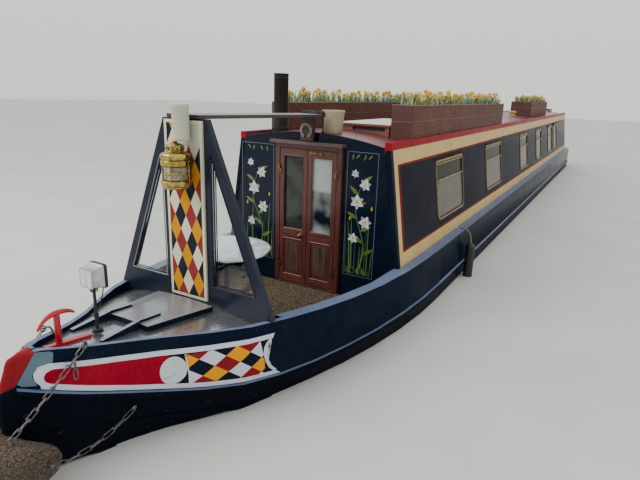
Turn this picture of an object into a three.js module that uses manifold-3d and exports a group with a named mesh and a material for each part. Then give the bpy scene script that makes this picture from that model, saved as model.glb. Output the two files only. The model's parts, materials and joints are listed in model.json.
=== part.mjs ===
// A steel narrowboat with a traditional stern, as an assembly of separate pieces.
// Millimetres. +X points to the bow, +Y to port, +Z up. The origin lies under the base plate,
// below the middle of the cabin's front bulkhead, and the boat floats at WATERLINE.
import * as THREE from "three";
import { mergeVertices } from "three/addons/utils/BufferGeometryUtils.js";
import Module from "manifold-3d";

const wasm = await Module();
wasm.setup();

// Driving heights above the underside of the base plate
const WATERLINE = 600;
const BASE_PLATE = 12;
const GUNWALE = 1150;
const ROOF_EDGE = 2161;
const ROOF_CAMBER = 100;
const WELL_FLOOR = 798;
const CABIN_FLOOR = 110;
const STRAKE_TOP = 800;

// Driving half widths
const HALF_BEAM = 1040;
const HALF_BASE = 1015;
const CABIN_FOOT = 928;
const CABIN_HEAD = 782;

// Driving stations along the hull, from the bow aft; the cabin's front face is at 0
const STEM_TOP = 2820;
const CRATCH = 1543;
const TAPER_START = -900;
const SWIM_START = -12000;
const CABIN_BACK = -13900;
const STERNPOST = -14050;
const RUDDER = -14450;
const STERN_END = -14850;

// Thicknesses and the gap between neighbours that touch
const SHELL = 50;
const CABIN_WALL = 45;
const GUNWALE_DEPTH = 30;
const GAP = 0.3;
const EPS = 1;

// Finishes: colour, roughness, metalness
const FINISHES = {
  blacking: [0x14161a, 0.55, 0],
  navy: [0x1a2130, 0.3, 0],
  cream: [0xb9a57c, 0.45, 0],
  red: [0x8e1b22, 0.35, 0],
  roofRed: [0x7d4a48, 0.5, 0],
  wood: [0x5b2a1c, 0.4, 0],
  plank: [0x6f4a38, 0.6, 0],
  ply: [0x9c8668, 0.7, 0],
  mat: [0x6b5635, 0.95, 0],
  brass: [0xb08a3a, 0.3, 1],
  steel: [0x9a9ca0, 0.35, 1],
  iron: [0x22211f, 0.6, 0.3],
  galvanised: [0x8f8f88, 0.5, 0.8],
  glass: [0x2a3438, 0.05, 0],
  greyWhite: [0xa9ab9c, 0.5, 0],
  stone: [0xb3a58a, 0.8, 0],
  coir: [0x4b3a2c, 1, 0],
  rubber: [0x17181a, 0.6, 0],
  canvas: [0x1c1d22, 0.9, 0],
};

const boat = new THREE.Group();

// Solids: a geometry becomes a manifold solid, turned right side out, and comes back as a mesh
function solid(geometry) {
  const bare = geometry.index ? geometry.toNonIndexed() : geometry.clone();
  bare.deleteAttribute("normal");
  bare.deleteAttribute("uv");
  const merged = mergeVertices(bare, 1e-3);
  const vertProperties = merged.attributes.position.array;
  const triVerts = new Uint32Array(merged.index.array);
  let made = new wasm.Manifold(new wasm.Mesh({ numProp: 3, vertProperties, triVerts }));
  if (made.volume() < 0) {
    for (let i = 0; i < triVerts.length; i += 3) {
      [triVerts[i + 1], triVerts[i + 2]] = [triVerts[i + 2], triVerts[i + 1]];
    }
    made = new wasm.Manifold(new wasm.Mesh({ numProp: 3, vertProperties, triVerts }));
  }
  return made;
}

function geometryOf(made) {
  const { vertProperties, triVerts } = made.getMesh();
  const geometry = new THREE.BufferGeometry();
  geometry.setAttribute("position", new THREE.BufferAttribute(new Float32Array(vertProperties), 3));
  geometry.setIndex(new THREE.BufferAttribute(new Uint32Array(triVerts), 1));
  return geometry;
}

const join = (...solids) => solids.reduce((all, next) => all.add(next));
const cut = (base, ...tools) => tools.reduce((rest, tool) => rest.subtract(tool), base);

function piece(name, finish, made) {
  const [color, roughness, metalness] = FINISHES[finish];
  const material = new THREE.MeshStandardMaterial({ color, roughness, metalness, flatShading: true });
  const mesh = new THREE.Mesh(geometryOf(made), material);
  mesh.name = name;
  boat.add(mesh);
}

// Shapes
function box(x0, x1, y0, y1, z0, z1) {
  const geometry = new THREE.BoxGeometry(x1 - x0, y1 - y0, z1 - z0);
  return solid(geometry.translate((x0 + x1) / 2, (y0 + y1) / 2, (z0 + z1) / 2));
}

// An outline pushed along an axis: its points are (y, z) for X, (x, z) for Y and (x, y) for Z
function prism(axis, outline, from, to, holes = []) {
  const shape = new THREE.Shape(outline.map(([u, v]) => new THREE.Vector2(u, v)));
  shape.holes = holes.map((hole) => new THREE.Path(hole.map(([u, v]) => new THREE.Vector2(u, v))));
  const geometry = new THREE.ExtrudeGeometry(shape, { depth: to - from, bevelEnabled: false });
  geometry.translate(0, 0, from);
  const [x, y, z] = [new THREE.Vector3(1, 0, 0), new THREE.Vector3(0, 1, 0), new THREE.Vector3(0, 0, 1)];
  const turn = { X: [y, z, x], Y: [x, z, y], Z: [x, y, z] }[axis];
  return solid(geometry.applyMatrix4(new THREE.Matrix4().makeBasis(...turn)));
}

function rod(axis, centre, radius, from, to, sides = 16) {
  const geometry = new THREE.CylinderGeometry(radius, radius, to - from, sides);
  geometry.translate(0, (from + to) / 2, 0);
  if (axis === "Z") geometry.rotateX(Math.PI / 2);
  if (axis === "X") geometry.rotateZ(-Math.PI / 2);
  return solid(geometry.translate(...centre));
}

function turned(profile, centre, sides = 24) {
  const points = profile.map(([radius, z]) => new THREE.Vector2(radius, z));
  const geometry = new THREE.LatheGeometry(points, sides).rotateX(Math.PI / 2);
  return solid(geometry.translate(...centre));
}

// A round bar along a smooth curve through a few points
function bar(points, radius, steps = 12, sides = 8) {
  const curve = new THREE.CatmullRomCurve3(points.map((p) => new THREE.Vector3(...p)));
  const section = new THREE.Shape();
  for (let i = 0; i < sides; i++) {
    const angle = (i / sides) * 2 * Math.PI;
    const [u, v] = [radius * Math.cos(angle), radius * Math.sin(angle)];
    if (i) section.lineTo(u, v);
    else section.moveTo(u, v);
  }
  return solid(new THREE.ExtrudeGeometry(section, { steps, extrudePath: curve, bevelEnabled: false }));
}

// A skin over rings of points that all run the same way round; a ring that closes to a line needs no cap
function loft(rings, capEnd = true) {
  const count = rings[0].length;
  const index = [];
  for (let ring = 0; ring + 1 < rings.length; ring++) {
    for (let i = 0; i < count; i++) {
      const a = ring * count + i;
      const b = ring * count + ((i + 1) % count);
      index.push(a, b, b + count, a, b + count, a + count);
    }
  }
  // Each cap runs against the skin's edges, so its triangles are all turned to suit
  const cap = (ring, way) => {
    const flat = rings[ring].map(([, y, z]) => new THREE.Vector2(y, z));
    const triangles = THREE.ShapeUtils.triangulateShape(flat, []);
    const areas = triangles.map((corners) => THREE.ShapeUtils.area(corners.map((i) => flat[i])));
    const facing = Math.sign(areas.reduce((sum, area) => sum + area, 0));
    const turn = facing !== way * Math.sign(THREE.ShapeUtils.area(flat));
    for (const corners of triangles) {
      const ordered = turn ? [...corners].reverse() : corners;
      index.push(...ordered.map((i) => ring * count + i));
    }
  };
  cap(0, -1);
  if (capEnd) cap(rings.length - 1, 1);
  const geometry = new THREE.BufferGeometry();
  geometry.setAttribute("position", new THREE.Float32BufferAttribute(rings.flat(2), 3));
  geometry.setIndex(index);
  return solid(geometry);
}

const mix = (a, b, t) => a + (b - a) * t;
const mirrored = (made) => made.mirror([0, 1, 0]);

// Hull lines
const NOSE_START = 2650;
const SHEER = { broad: 139, steep: 66 };
const gunwaleTop = (x) => {
  const part = Math.max(0, x) / STEM_TOP;
  const sheer = SHEER.broad * part ** 2 + SHEER.steep * part ** 8;
  const nose = x > NOSE_START ? 45 * ((x - NOSE_START) / (STEM_TOP - NOSE_START)) ** 2 : 0;
  return GUNWALE + sheer - nose;
};
const strakeTop = (x) => STRAKE_TOP - 20 + (x > 1200 ? 370 * ((x - 1200) / 1600) ** 2 : 0);

// The fore end's level lines: part of the height, x of the stem, fullness, half width at the taper's start
const LEVELS = [
  { up: 0, stem: 2150, full: 1.7, half: HALF_BASE },
  { up: 0.08, stem: 2330, full: 1.75, half: 1018 },
  { up: 0.2, stem: 2520, full: 1.85, half: 1024 },
  { up: 0.35, stem: 2690, full: 1.95, half: 1030 },
  { up: 0.5, stem: 2800, full: 2.1, half: 1035 },
  { up: 0.65, stem: 2865, full: 2.3, half: HALF_BEAM },
  { up: 0.8, stem: 2890, full: 2.5, half: HALF_BEAM },
  { up: 0.9, stem: 2870, full: 2.6, half: HALF_BEAM },
  { up: 1, stem: STEM_TOP, full: 2.6, half: HALF_BEAM },
];
const BOW_STATIONS = [0, 0.12, 0.24, 0.36, 0.46, 0.55, 0.63, 0.7, 0.76, 0.82, 0.87, 0.91, 0.94, 0.965, 0.985, 1];

// The level lines draw in towards the stem, over a short run, by a part of their half width
const DRAWN_IN = { from: 0.7, to: 0.875, part: 0.25 };
const fineness = (s) => 1 - DRAWN_IN.part * THREE.MathUtils.smoothstep(s, DRAWN_IN.from, DRAWN_IN.to);

// A point of the fore end's skin: s runs from the taper's start to the stem, up from base to gunwale
function bowPoint(s, up, inset = 0) {
  const above = Math.max(1, LEVELS.findIndex((level) => level.up >= up));
  const [low, high] = [LEVELS[above - 1], LEVELS[above]];
  const t = (up - low.up) / (high.up - low.up);
  const x = TAPER_START + s * (mix(low.stem, high.stem, t) - TAPER_START);
  const half = fineness(s) * mix(low.half * (1 - s ** low.full), high.half * (1 - s ** high.full), t);
  const top = gunwaleTop(TAPER_START + s * (STEM_TOP - TAPER_START));
  return [x, Math.max(half - inset, 0), mix(BASE_PLATE + GAP, top, up)];
}

function bowRing(s, inset = 0, lift = 0) {
  const port = LEVELS.map(({ up }) => bowPoint(s, up, inset));
  if (inset > 0) port[0][2] -= 40;
  port[port.length - 1][2] += lift;
  const starboard = port.map(([x, y, z]) => [x, -y, z]).reverse();
  return [...port, ...starboard];
}

// The station where the space inside closes to a line
const INSIDE_END = 0.965;

// The space inside the fore end, at a given distance from its skin, open at the top, below and aft
function bowInside(inset) {
  const stations = BOW_STATIONS.filter((s) => s < INSIDE_END);
  const aft = bowRing(0, inset, 300).map(([, y, z]) => [TAPER_START - 50, y, z]);
  const point = bowRing(INSIDE_END, inset, 300).map(([x, , z]) => [x + SHELL - inset, 0, z]);
  return loft([aft, ...stations.map((s) => bowRing(s, inset, 300)), point], false);
}

// A bar along the fore end's skin, from one station to another
function bowBar(topOf, depth, proud, sunk, stations) {
  const along = stations.map((s) => {
    let up = 0.6;
    for (let pass = 0; pass < 6; pass++) {
      const [x] = bowPoint(s, up);
      const height = bowPoint(s, 1)[2];
      up = Math.min(0.999, (topOf(x) - depth / 2 - BASE_PLATE) / (height - BASE_PLATE));
    }
    return bowPoint(s, up);
  });
  return loft(
    along.map(([x, y, z], i) => {
      const [ax, ay] = along[Math.max(i - 1, 0)];
      const [bx, by] = along[Math.min(i + 1, along.length - 1)];
      const length = Math.hypot(bx - ax, by - ay);
      const [nx, ny] = i ? [(ay - by) / length, (bx - ax) / length] : [0, 1];
      const inner = [x - nx * sunk, Math.max(y - ny * sunk, 0)];
      const outer = [x + nx * proud, y + ny * proud];
      return [
        [...inner, z - depth / 2],
        [...outer, z - depth / 2 + proud / 3],
        [...outer, z + depth / 2 - proud / 3],
        [...inner, z + depth / 2],
      ];
    }),
  );
}

// Base plate, with the skeg that carries the rudder's foot
const SWIM = [
  { x: SWIM_START, foot: HALF_BASE, head: 1036 },
  { x: -12600, foot: 960, head: 1010 },
  { x: -13100, foot: 800, head: 900 },
  { x: -13500, foot: 560, head: 700 },
  { x: -13800, foot: 320, head: 430 },
  { x: STERNPOST, foot: 40, head: 60 },
];
const LIP = 18;
const SKEG_HALF = 32;
function makeBasePlate() {
  const bow = BOW_STATIONS.slice(0, -1).map((s) => bowPoint(s, 0).slice(0, 2));
  const port = [
    [RUDDER - 60, SKEG_HALF],
    [STERNPOST - 20, SKEG_HALF],
    ...SWIM.map(({ x, foot }) => [x, foot + LIP]).reverse(),
    ...bow.map(([x, y]) => [x, y + LIP]),
    [LEVELS[0].stem + LIP, 8],
  ];
  const outline = [...port, ...port.map(([x, y]) => [x, -y]).reverse()];
  const cup = rod("Z", [RUDDER, 0, 0], 45, EPS, 40);
  piece("base_plate", "blacking", join(prism("Z", outline, 0, BASE_PLATE), cup));
}

// The foredeck's surface, and a slab that follows it from a rise above it down through a depth
const LOCKER_BULKHEAD = [1488, 1518];
const DECK_PLATE = 12;
const deckTop = (x, y) => {
  const u = (x - 1500) / 1000;
  return 1192 + 35 * u + 30 * u * u - 50 * (y / 550) ** 2;
};
function deckSlab(rise, depth) {
  const across = [-900, -450, -225, 0, 225, 450, 900];
  const stations = [LOCKER_BULKHEAD[0], 1800, 2120, 2400, 2620, 2800];
  return loft(
    stations.map((x) => [
      ...across.map((y) => [x, y, deckTop(x, y) + rise]),
      ...across.map((y) => [x, y, deckTop(x, y) + rise - depth]).reverse(),
    ]),
  );
}

// Cuts a fitting's foot to the deck, so that it stands just clear of it
const onDeck = (made) => cut(made, deckSlab(GAP, 300));

// Fore end: the shell, its rubbing strakes, gunwale, stem bar and the bulkhead under the cratch
const WELL_GUNWALE = 100;
const STEM_HALF = 20;
const foreEndSkin = (grow) => loft(BOW_STATIONS.map((s) => bowRing(s, s < 1 ? -grow : 0, grow)), false);

function stemBar(grow) {
  const heightAt = (up) => mix(BASE_PLATE + GAP, gunwaleTop(STEM_TOP), up);
  const outside = LEVELS.map(({ up, stem }) => [stem + 20 + grow, heightAt(up)]);
  const inside = LEVELS.map(({ up, stem }) => [stem - 90, heightAt(up)]);
  const head = [
    [2780, gunwaleTop(2760) + 4],
    [2700, gunwaleTop(2700) + 6],
  ];
  return prism("Y", [...outside, ...head, ...inside.reverse()], -STEM_HALF - grow, STEM_HALF + grow);
}

function makeForeEnd() {
  const skin = foreEndSkin(0);
  const wellStations = BOW_STATIONS.filter((s) => bowPoint(s, 1)[0] < 1700);
  const gunwale = loft(
    wellStations.map((s) => {
      const [x, y, z] = bowPoint(s, 1);
      const outer = y - 8;
      const inner = x < 0 ? CABIN_FOOT - CABIN_WALL + EPS : y - WELL_GUNWALE;
      return [
        [x, inner, z - GUNWALE_DEPTH],
        [x, outer, z - GUNWALE_DEPTH],
        [x, outer, z],
        [x, inner, z],
      ];
    }),
  );
  const upper = bowBar((x) => strakeTop(x), 45, 22, 20, BOW_STATIONS.slice(0, -1));
  const middle = bowBar((x) => 600 + 270 * Math.max(0, (x - 1600) / 1170), 34, 16, 16, BOW_STATIONS.slice(4, -1));
  const lower = bowBar((x) => 400 + 300 * Math.max(0, (x - 1600) / 1150), 34, 16, 16, BOW_STATIONS.slice(4, -1));
  const [from, to] = LOCKER_BULKHEAD;
  const aboveBulkhead = deckSlab(300, 300 + DECK_PLATE + GAP);
  const bulkhead = cut(box(from, to, -HALF_BEAM, HALF_BEAM, 0, 1300).intersect(skin), aboveBulkhead);
  const sides = [gunwale, upper, middle, lower].flatMap((bar) => [bar, mirrored(bar)]);
  piece("fore_end", "navy", join(cut(skin, bowInside(SHELL)), ...sides, bulkhead, stemBar(0)));
}

// Hull sides amidships: plate and lining as one wall, with the gunwale and its strake
function hullSideOutline(side) {
  const strake = [
    [HALF_BEAM, strakeTop(0) - 45],
    [HALF_BEAM + 22, strakeTop(0) - 38],
    [HALF_BEAM + 22, strakeTop(0) - 7],
    [HALF_BEAM, strakeTop(0)],
  ];
  const outline = [
    [HALF_BASE, BASE_PLATE + GAP],
    [1030, 500],
    ...strake,
    [HALF_BEAM, GUNWALE],
    [CABIN_FOOT - CABIN_WALL, GUNWALE],
    [CABIN_FOOT - CABIN_WALL, GUNWALE - GUNWALE_DEPTH],
    [HALF_BEAM - SHELL, GUNWALE - GUNWALE_DEPTH],
    [HALF_BASE - SHELL, BASE_PLATE + GAP],
  ];
  return outline.map(([y, z]) => [side * y, z]);
}

// The foredeck: a cambered plate inside the bulwark, with the locker's hatch
const LID = { aft: 1625, fore: 2120, aftHalf: 250, foreHalf: 185, height: 34, wall: 6 };
const lidHalf = (x, inset = 0) => mix(LID.aftHalf, LID.foreHalf, (x - LID.aft) / (LID.fore - LID.aft)) - inset;
const STRAPS = [-145, 110];
const CABLE_GLAND = [2194, -186];
const PIVOT = { x: LID.fore + 10, z: deckTop(LID.fore, 0) + LID.height + 8 };

function makeForedeck() {
  const trapezoid = (inset) => [
    [LID.aft + inset, -lidHalf(LID.aft, inset)],
    [LID.fore - inset, -lidHalf(LID.fore, inset)],
    [LID.fore - inset, lidHalf(LID.fore, inset)],
    [LID.aft + inset, lidHalf(LID.aft, inset)],
  ];
  const inside = bowInside(SHELL + GAP);
  const plate = deckSlab(0, DECK_PLATE).intersect(inside);
  const hatch = prism("Z", trapezoid(40), 1000, 1400);
  const rim = cut(prism("Z", trapezoid(28), 1000, 1400), hatch).intersect(deckSlab(20, 32));
  const straps = STRAPS.map((y) => {
    const outline = [
      [2385, deckTop(2385, y) - 6],
      [2385, deckTop(2385, y) + 12],
      [PIVOT.x + 5, PIVOT.z + 7],
      [PIVOT.x - 5, PIVOT.z + 7],
      [PIVOT.x - 6, PIVOT.z - 6],
      [PIVOT.x + 4, deckTop(PIVOT.x, y) - 6],
    ];
    return prism("Y", outline, y - 13, y - 6).add(prism("Y", outline, y + 6, y + 13)).add(
      prism("Y", outline.map(([x, z]) => [Math.max(x, PIVOT.x + 12), z]), y - 7, y + 7),
    );
  });
  const stemBar = prism("Y", [
    [2370, deckTop(2370, 0) - 6],
    [2370, deckTop(2370, 0) + 16],
    [2640, deckTop(2640, 0) + 24],
    [2640, deckTop(2640, 0) - 6],
  ], -16, 16).intersect(inside);
  const [glandX, glandY] = CABLE_GLAND;
  const gland = rod("Z", [glandX, glandY, 0], 8, deckTop(glandX, glandY) - 6, deckTop(glandX, glandY) + 12, 10);
  piece("foredeck", "navy", join(cut(plate, hatch), rim, ...straps, stemBar, gland));
}

function makeLockerLid() {
  const across = [-1, -0.5, 0, 0.5, 1];
  const shell = (inset, top, bottom) =>
    loft(
      [LID.aft + inset, LID.fore - inset].map((x) => [
        ...across.map((part) => {
          const y = part * lidHalf(x, inset);
          return [x, y, deckTop(x, y) + top];
        }),
        ...across.map((part) => {
          const y = part * lidHalf(x, inset);
          return [x, y, deckTop(x, y) + bottom];
        }).reverse(),
      ]),
    );
  const straps = STRAPS.map((y) => {
    const under = (x) => deckTop(x, y) + LID.height - 4;
    const outline = [
      [1950, under(1950)],
      [LID.fore - 6, under(LID.fore)],
      [PIVOT.x + 5, PIVOT.z - 6],
      [PIVOT.x + 7, PIVOT.z],
      [PIVOT.x + 5, PIVOT.z + 6],
      [LID.fore - 6, PIVOT.z + 7],
      [1950, under(1950) + 18],
    ];
    return prism("Y", outline, y - 5.7, y + 5.7);
  });
  const tray = cut(shell(0, LID.height, GAP), shell(LID.wall, LID.height - LID.wall, -60));
  piece("locker_lid", "navy", join(onDeck(tray), ...straps));
}

// The well deck's floor, fitted inside the shell
function makeFloors() {
  const well = box(15, LOCKER_BULKHEAD[0] - GAP, -1000, 1000, WELL_FLOOR - 30, WELL_FLOOR);
  piece("well_floor", "mat", well.intersect(bowInside(SHELL + GAP)));
  const half = HALF_BASE - SHELL - 4;
  const floor = (from, to) => box(from, to, -half, half, BASE_PLATE + GAP, CABIN_FLOOR);
  const forward = floor(TAPER_START - EPS, -CABIN_WALL - GAP).intersect(bowInside(SHELL + GAP));
  const middle = floor(SWIM_START, TAPER_START);
  const swim = loft(swimRings(SHELL + GAP, ...HOLD));
  const aft = floor(-13050, SWIM_START + EPS).intersect(swim);
  piece("cabin_floor", "ply", join(forward, middle, aft));
}

// Cabin section
const wallAt = (z) => mix(CABIN_FOOT, CABIN_HEAD, (z - GUNWALE) / (ROOF_EDGE - GUNWALE));
const roofAt = (y) => ROOF_EDGE + 6 + ROOF_CAMBER * (1 - (y / CABIN_HEAD) ** 2);
const LEAN = Math.atan((CABIN_FOOT - CABIN_HEAD) / (ROOF_EDGE - GUNWALE));

const roofArc = (half, drop, parts = 10) =>
  Array.from({ length: parts + 1 }, (_, i) => {
    const y = mix(-half, half, i / parts);
    return [y, roofAt(y) - drop];
  });

// Cuts a fitting's foot to the roof's camber, so that it stands just clear of it
const onRoof = (made) => cut(made, prism("X", [...roofArc(CABIN_HEAD, -GAP, 14), [0, 1800]], CABIN_BACK, 0));

// The outline of a bulkhead that fits between the sides and under the roof
function bulkheadOutline(low) {
  const half = HALF_BASE - SHELL - 3;
  const shoulder = GUNWALE - GUNWALE_DEPTH - GAP;
  const foot = CABIN_FOOT - CABIN_WALL - GAP;
  const head = wallAt(ROOF_EDGE) - CABIN_WALL - GAP;
  const right = [
    [half, low],
    [half + 8, shoulder],
    [foot, shoulder],
    [foot, GUNWALE],
    [head, ROOF_EDGE - 35],
  ];
  const left = right.map(([y, z]) => [-y, z]).reverse();
  return [...right, ...roofArc(head - 12, 45 + GAP).reverse(), ...left];
}

// Windows, one row for each from the bow aft: centre, width. Both sides are alike.
const WINDOWS = [
  { x: -1640, width: 980 },
  { x: -3850, width: 1000 },
  { x: -6430, width: 800 },
  { x: -8330, width: 720 },
  { x: -10240, width: 720 },
  { x: -11300, width: 620 },
];
const WINDOW_HEIGHT = 590;
const WINDOW_CENTRE = 1660;

// A rounded outline about a centre, with its own radius for the upper and the lower corners
function roundedOutline(width, height, upper, lower, steps = 2) {
  const corner = (cx, cy, radius, start) =>
    Array.from({ length: steps + 1 }, (_, i) => {
      const angle = start + (i / steps) * (Math.PI / 2);
      return [cx + radius * Math.cos(angle), cy + radius * Math.sin(angle)];
    });
  const [w, h] = [width / 2, height / 2];
  return [
    ...corner(w - upper, h - upper, upper, 0),
    ...corner(upper - w, h - upper, upper, Math.PI / 2),
    ...corner(lower - w, lower - h, lower, Math.PI),
    ...corner(w - lower, lower - h, lower, 1.5 * Math.PI),
  ];
}

// The frame of a wall's outer face: x along the boat, y up the wall, z outwards
function wallFrame(side, x) {
  const along = new THREE.Vector3(-side, 0, 0);
  const up = new THREE.Vector3(0, -side * Math.sin(LEAN), Math.cos(LEAN));
  const out = new THREE.Vector3(0, side * Math.cos(LEAN), Math.sin(LEAN));
  const frame = new THREE.Matrix4().makeBasis(along, up, out);
  return frame.setPosition(x, side * wallAt(WINDOW_CENTRE), WINDOW_CENTRE);
}

function inWall(side, x, outline, from, to, holes = []) {
  const shape = new THREE.Shape(outline.map(([u, v]) => new THREE.Vector2(u, v)));
  shape.holes = holes.map((hole) => new THREE.Path(hole.map(([u, v]) => new THREE.Vector2(u, v))));
  const geometry = new THREE.ExtrudeGeometry(shape, { depth: to - from, bevelEnabled: false });
  return solid(geometry.translate(0, 0, from).applyMatrix4(wallFrame(side, x)));
}

function makeCabinSide(name, side) {
  const outline = [
    [wallAt(GUNWALE), GUNWALE + GAP],
    [wallAt(ROOF_EDGE), ROOF_EDGE],
    [wallAt(ROOF_EDGE) - CABIN_WALL, ROOF_EDGE],
    [wallAt(GUNWALE) - CABIN_WALL, GUNWALE + GAP],
  ].map(([y, z]) => [side * y, z]);
  const wall = prism("X", outline, CABIN_BACK, 0);
  const holes = WINDOWS.map(({ x, width }) => {
    return inWall(side, x, roundedOutline(width, WINDOW_HEIGHT, 30, 70), -80, 20);
  });
  const dripRails = WINDOWS.map(({ x, width }) => {
    const half = width / 2 + 25;
    const low = WINDOW_HEIGHT / 2 + 34;
    return inWall(side, x, [[-half, low], [half, low], [half, low + 12], [-half, low + 12]], -4, 14);
  });
  piece(name, "cream", join(cut(wall, ...holes), ...dripRails));
}

function makeWindow(name, side, { x, width }) {
  const ring = (grow, upper, lower) => roundedOutline(width + grow, WINDOW_HEIGHT + grow, upper, lower);
  const flange = inWall(side, x, ring(44, 45, 88), GAP, 9);
  const sleeve = inWall(side, x, ring(-2, 29, 69), -30, 5);
  const recess = inWall(side, x, ring(-36, 16, 54), -14, 20);
  const v = WINDOW_HEIGHT * 0.2;
  const w = width / 2 - 12;
  const rail = inWall(side, x, [[-w, v], [w, v], [w, v + 22], [-w, v + 22]], -18, 4);
  piece(name, "brass", join(cut(join(flange, sleeve), recess), rail));
}

// Roof, with its raised edge rails, the hatch opening aft and the hatch's runners
const RAIL = { width: 58, top: ROOF_EDGE + 64 };
const HATCH = { fore: -13230, half: 330, runner: 352, seat: 2290, travel: 600 };
function makeRoof() {
  const head = wallAt(ROOF_EDGE) - CABIN_WALL - 2;
  const edge = CABIN_HEAD + 3;
  const outline = [
    ...roofArc(edge, 0, 14),
    [edge, ROOF_EDGE + GAP],
    [head, ROOF_EDGE + GAP],
    [head, ROOF_EDGE - 30],
    ...roofArc(head - 6, 45).reverse(),
    [-head, ROOF_EDGE - 30],
    [-head, ROOF_EDGE + GAP],
    [-edge, ROOF_EDGE + GAP],
  ];
  const slab = prism("X", outline, CABIN_BACK, 0);
  const rail = prism("X", [
    [edge, ROOF_EDGE + 3],
    [edge, RAIL.top],
    [edge - RAIL.width, RAIL.top],
    [edge - RAIL.width, ROOF_EDGE + 3],
  ], CABIN_BACK, 0);
  const opening = box(CABIN_BACK - EPS, HATCH.fore - 30, -HATCH.half, HATCH.half, 2000, 2400);
  const runnerFoot = roofAt(HATCH.runner + 30) - 6;
  const runner = box(CABIN_BACK, HATCH.fore + HATCH.travel + 40, HATCH.runner, HATCH.runner + 30, runnerFoot, HATCH.seat);
  const coaming = box(HATCH.fore - 34, HATCH.fore - 22, -HATCH.runner, HATCH.runner, roofAt(HATCH.runner) - 20, HATCH.seat - 12);
  piece("cabin_roof", "roofRed", join(cut(slab, opening), rail, mirrored(rail), runner, mirrored(runner), coaming));
}

function makeSlidingHatch() {
  const half = HATCH.runner + 45;
  const under = HATCH.seat + GAP;
  const lid = box(CABIN_BACK - 20, HATCH.fore, -half, half, under, under + 34);
  const skirt = box(CABIN_BACK - 20, HATCH.fore, HATCH.runner + 36, half, under - 42, under + EPS);
  const lip = box(CABIN_BACK - 20, CABIN_BACK - 6, -HATCH.half + 12, HATCH.half - 12, 2272, under + EPS);
  const handle = bar([
    [CABIN_BACK + 60, -90, under + 28],
    [CABIN_BACK + 60, -80, under + 62],
    [CABIN_BACK + 60, 80, under + 62],
    [CABIN_BACK + 60, 90, under + 28],
  ], 8, 10, 6);
  piece("sliding_hatch", "navy", join(lid, skirt, mirrored(skirt), lip, handle));
}

// Doors: a pair of leaves in a timber frame. `out` is the way they open along X.
const DOOR = { half: 348, clear: 303, gap: 2.5, pivot: 44, knuckle: 8 };
function hinges(y, low, high, out, fixed) {
  const heights = [mix(low, high, 0.15), mix(low, high, 0.85)];
  return heights.map((z) => {
    const [from, to] = fixed ? [z + GAP, z + 40] : [z - 40, z];
    return rod("Z", [out, y, 0], DOOR.knuckle, from, to, 10);
  });
}

// One leaf, drawn for a door whose outer face looks along +X, on the port side
function leaf(plane, out, side, low, high, glassLow) {
  const [x0, x1] = [plane - out * 8, plane + out * 32].sort((a, b) => a - b);
  const y0 = DOOR.gap;
  const y1 = DOOR.clear - 5.5;
  const body = side > 0 ? box(x0, x1, y0, y1, low, high) : box(x0, x1, -y1, -y0, low, high);
  const inset = (z0, z1, depth) => {
    const [a, b] = [plane + out * (32 - depth), plane + out * 40].sort((p, q) => p - q);
    const [c, d] = [side * (y0 + 38), side * (y1 - 38)].sort((p, q) => p - q);
    return box(a, b, c, d, z0, z1);
  };
  const pivotX = plane + out * DOOR.pivot;
  const knuckles = hinges(side * 300, low, high, pivotX, false);
  const [f0, f1] = [plane + out * 20, pivotX].sort((a, b) => a - b);
  const leaves = knuckles.map((_, i) => {
    const z = mix(low, high, i ? 0.85 : 0.15);
    const [a, b] = [side * 278, side * 300].sort((p, q) => p - q);
    return box(f0, f1, a, b, z - 40, z);
  });
  return join(cut(body, inset(glassLow, high - 60, 22), inset(low + 70, glassLow - 90, 10)), ...knuckles, ...leaves);
}

function doorFrame(plane, out, low, high) {
  const [x0, x1] = [plane - out * (CABIN_WALL + 5), plane + out * 35].sort((a, b) => a - b);
  const jamb = box(x0, x1, DOOR.clear, DOOR.half, low, high);
  const head = box(x0, x1, -DOOR.half, DOOR.half, high - 45, high);
  const sill = box(x0, x1, -DOOR.half, DOOR.half, low, low + 14);
  const pivotX = plane + out * DOOR.pivot;
  const knuckles = [1, -1].flatMap((side) => hinges(side * 300, low + 20, high - 50, pivotX, true));
  const ears = [1, -1].flatMap((side) =>
    [0.15, 0.85].map((part) => {
      const z = mix(low + 20, high - 50, part);
      const [a, b] = [side * 300, side * 318].sort((p, q) => p - q);
      const [c, d] = [plane + out * 30, pivotX].sort((p, q) => p - q);
      return box(c, d, a, b, z + GAP, z + 40);
    }),
  );
  return join(jamb, mirrored(jamb), head, sill, ...knuckles, ...ears);
}

const FRONT_DOOR = { low: WELL_FLOOR + 2, high: 2160 };
const CAP = { half: 376, low: 2160, high: 2186, reach: 95 };
const BACK_DOOR = { low: GUNWALE + 30, high: 2266 };

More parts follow.
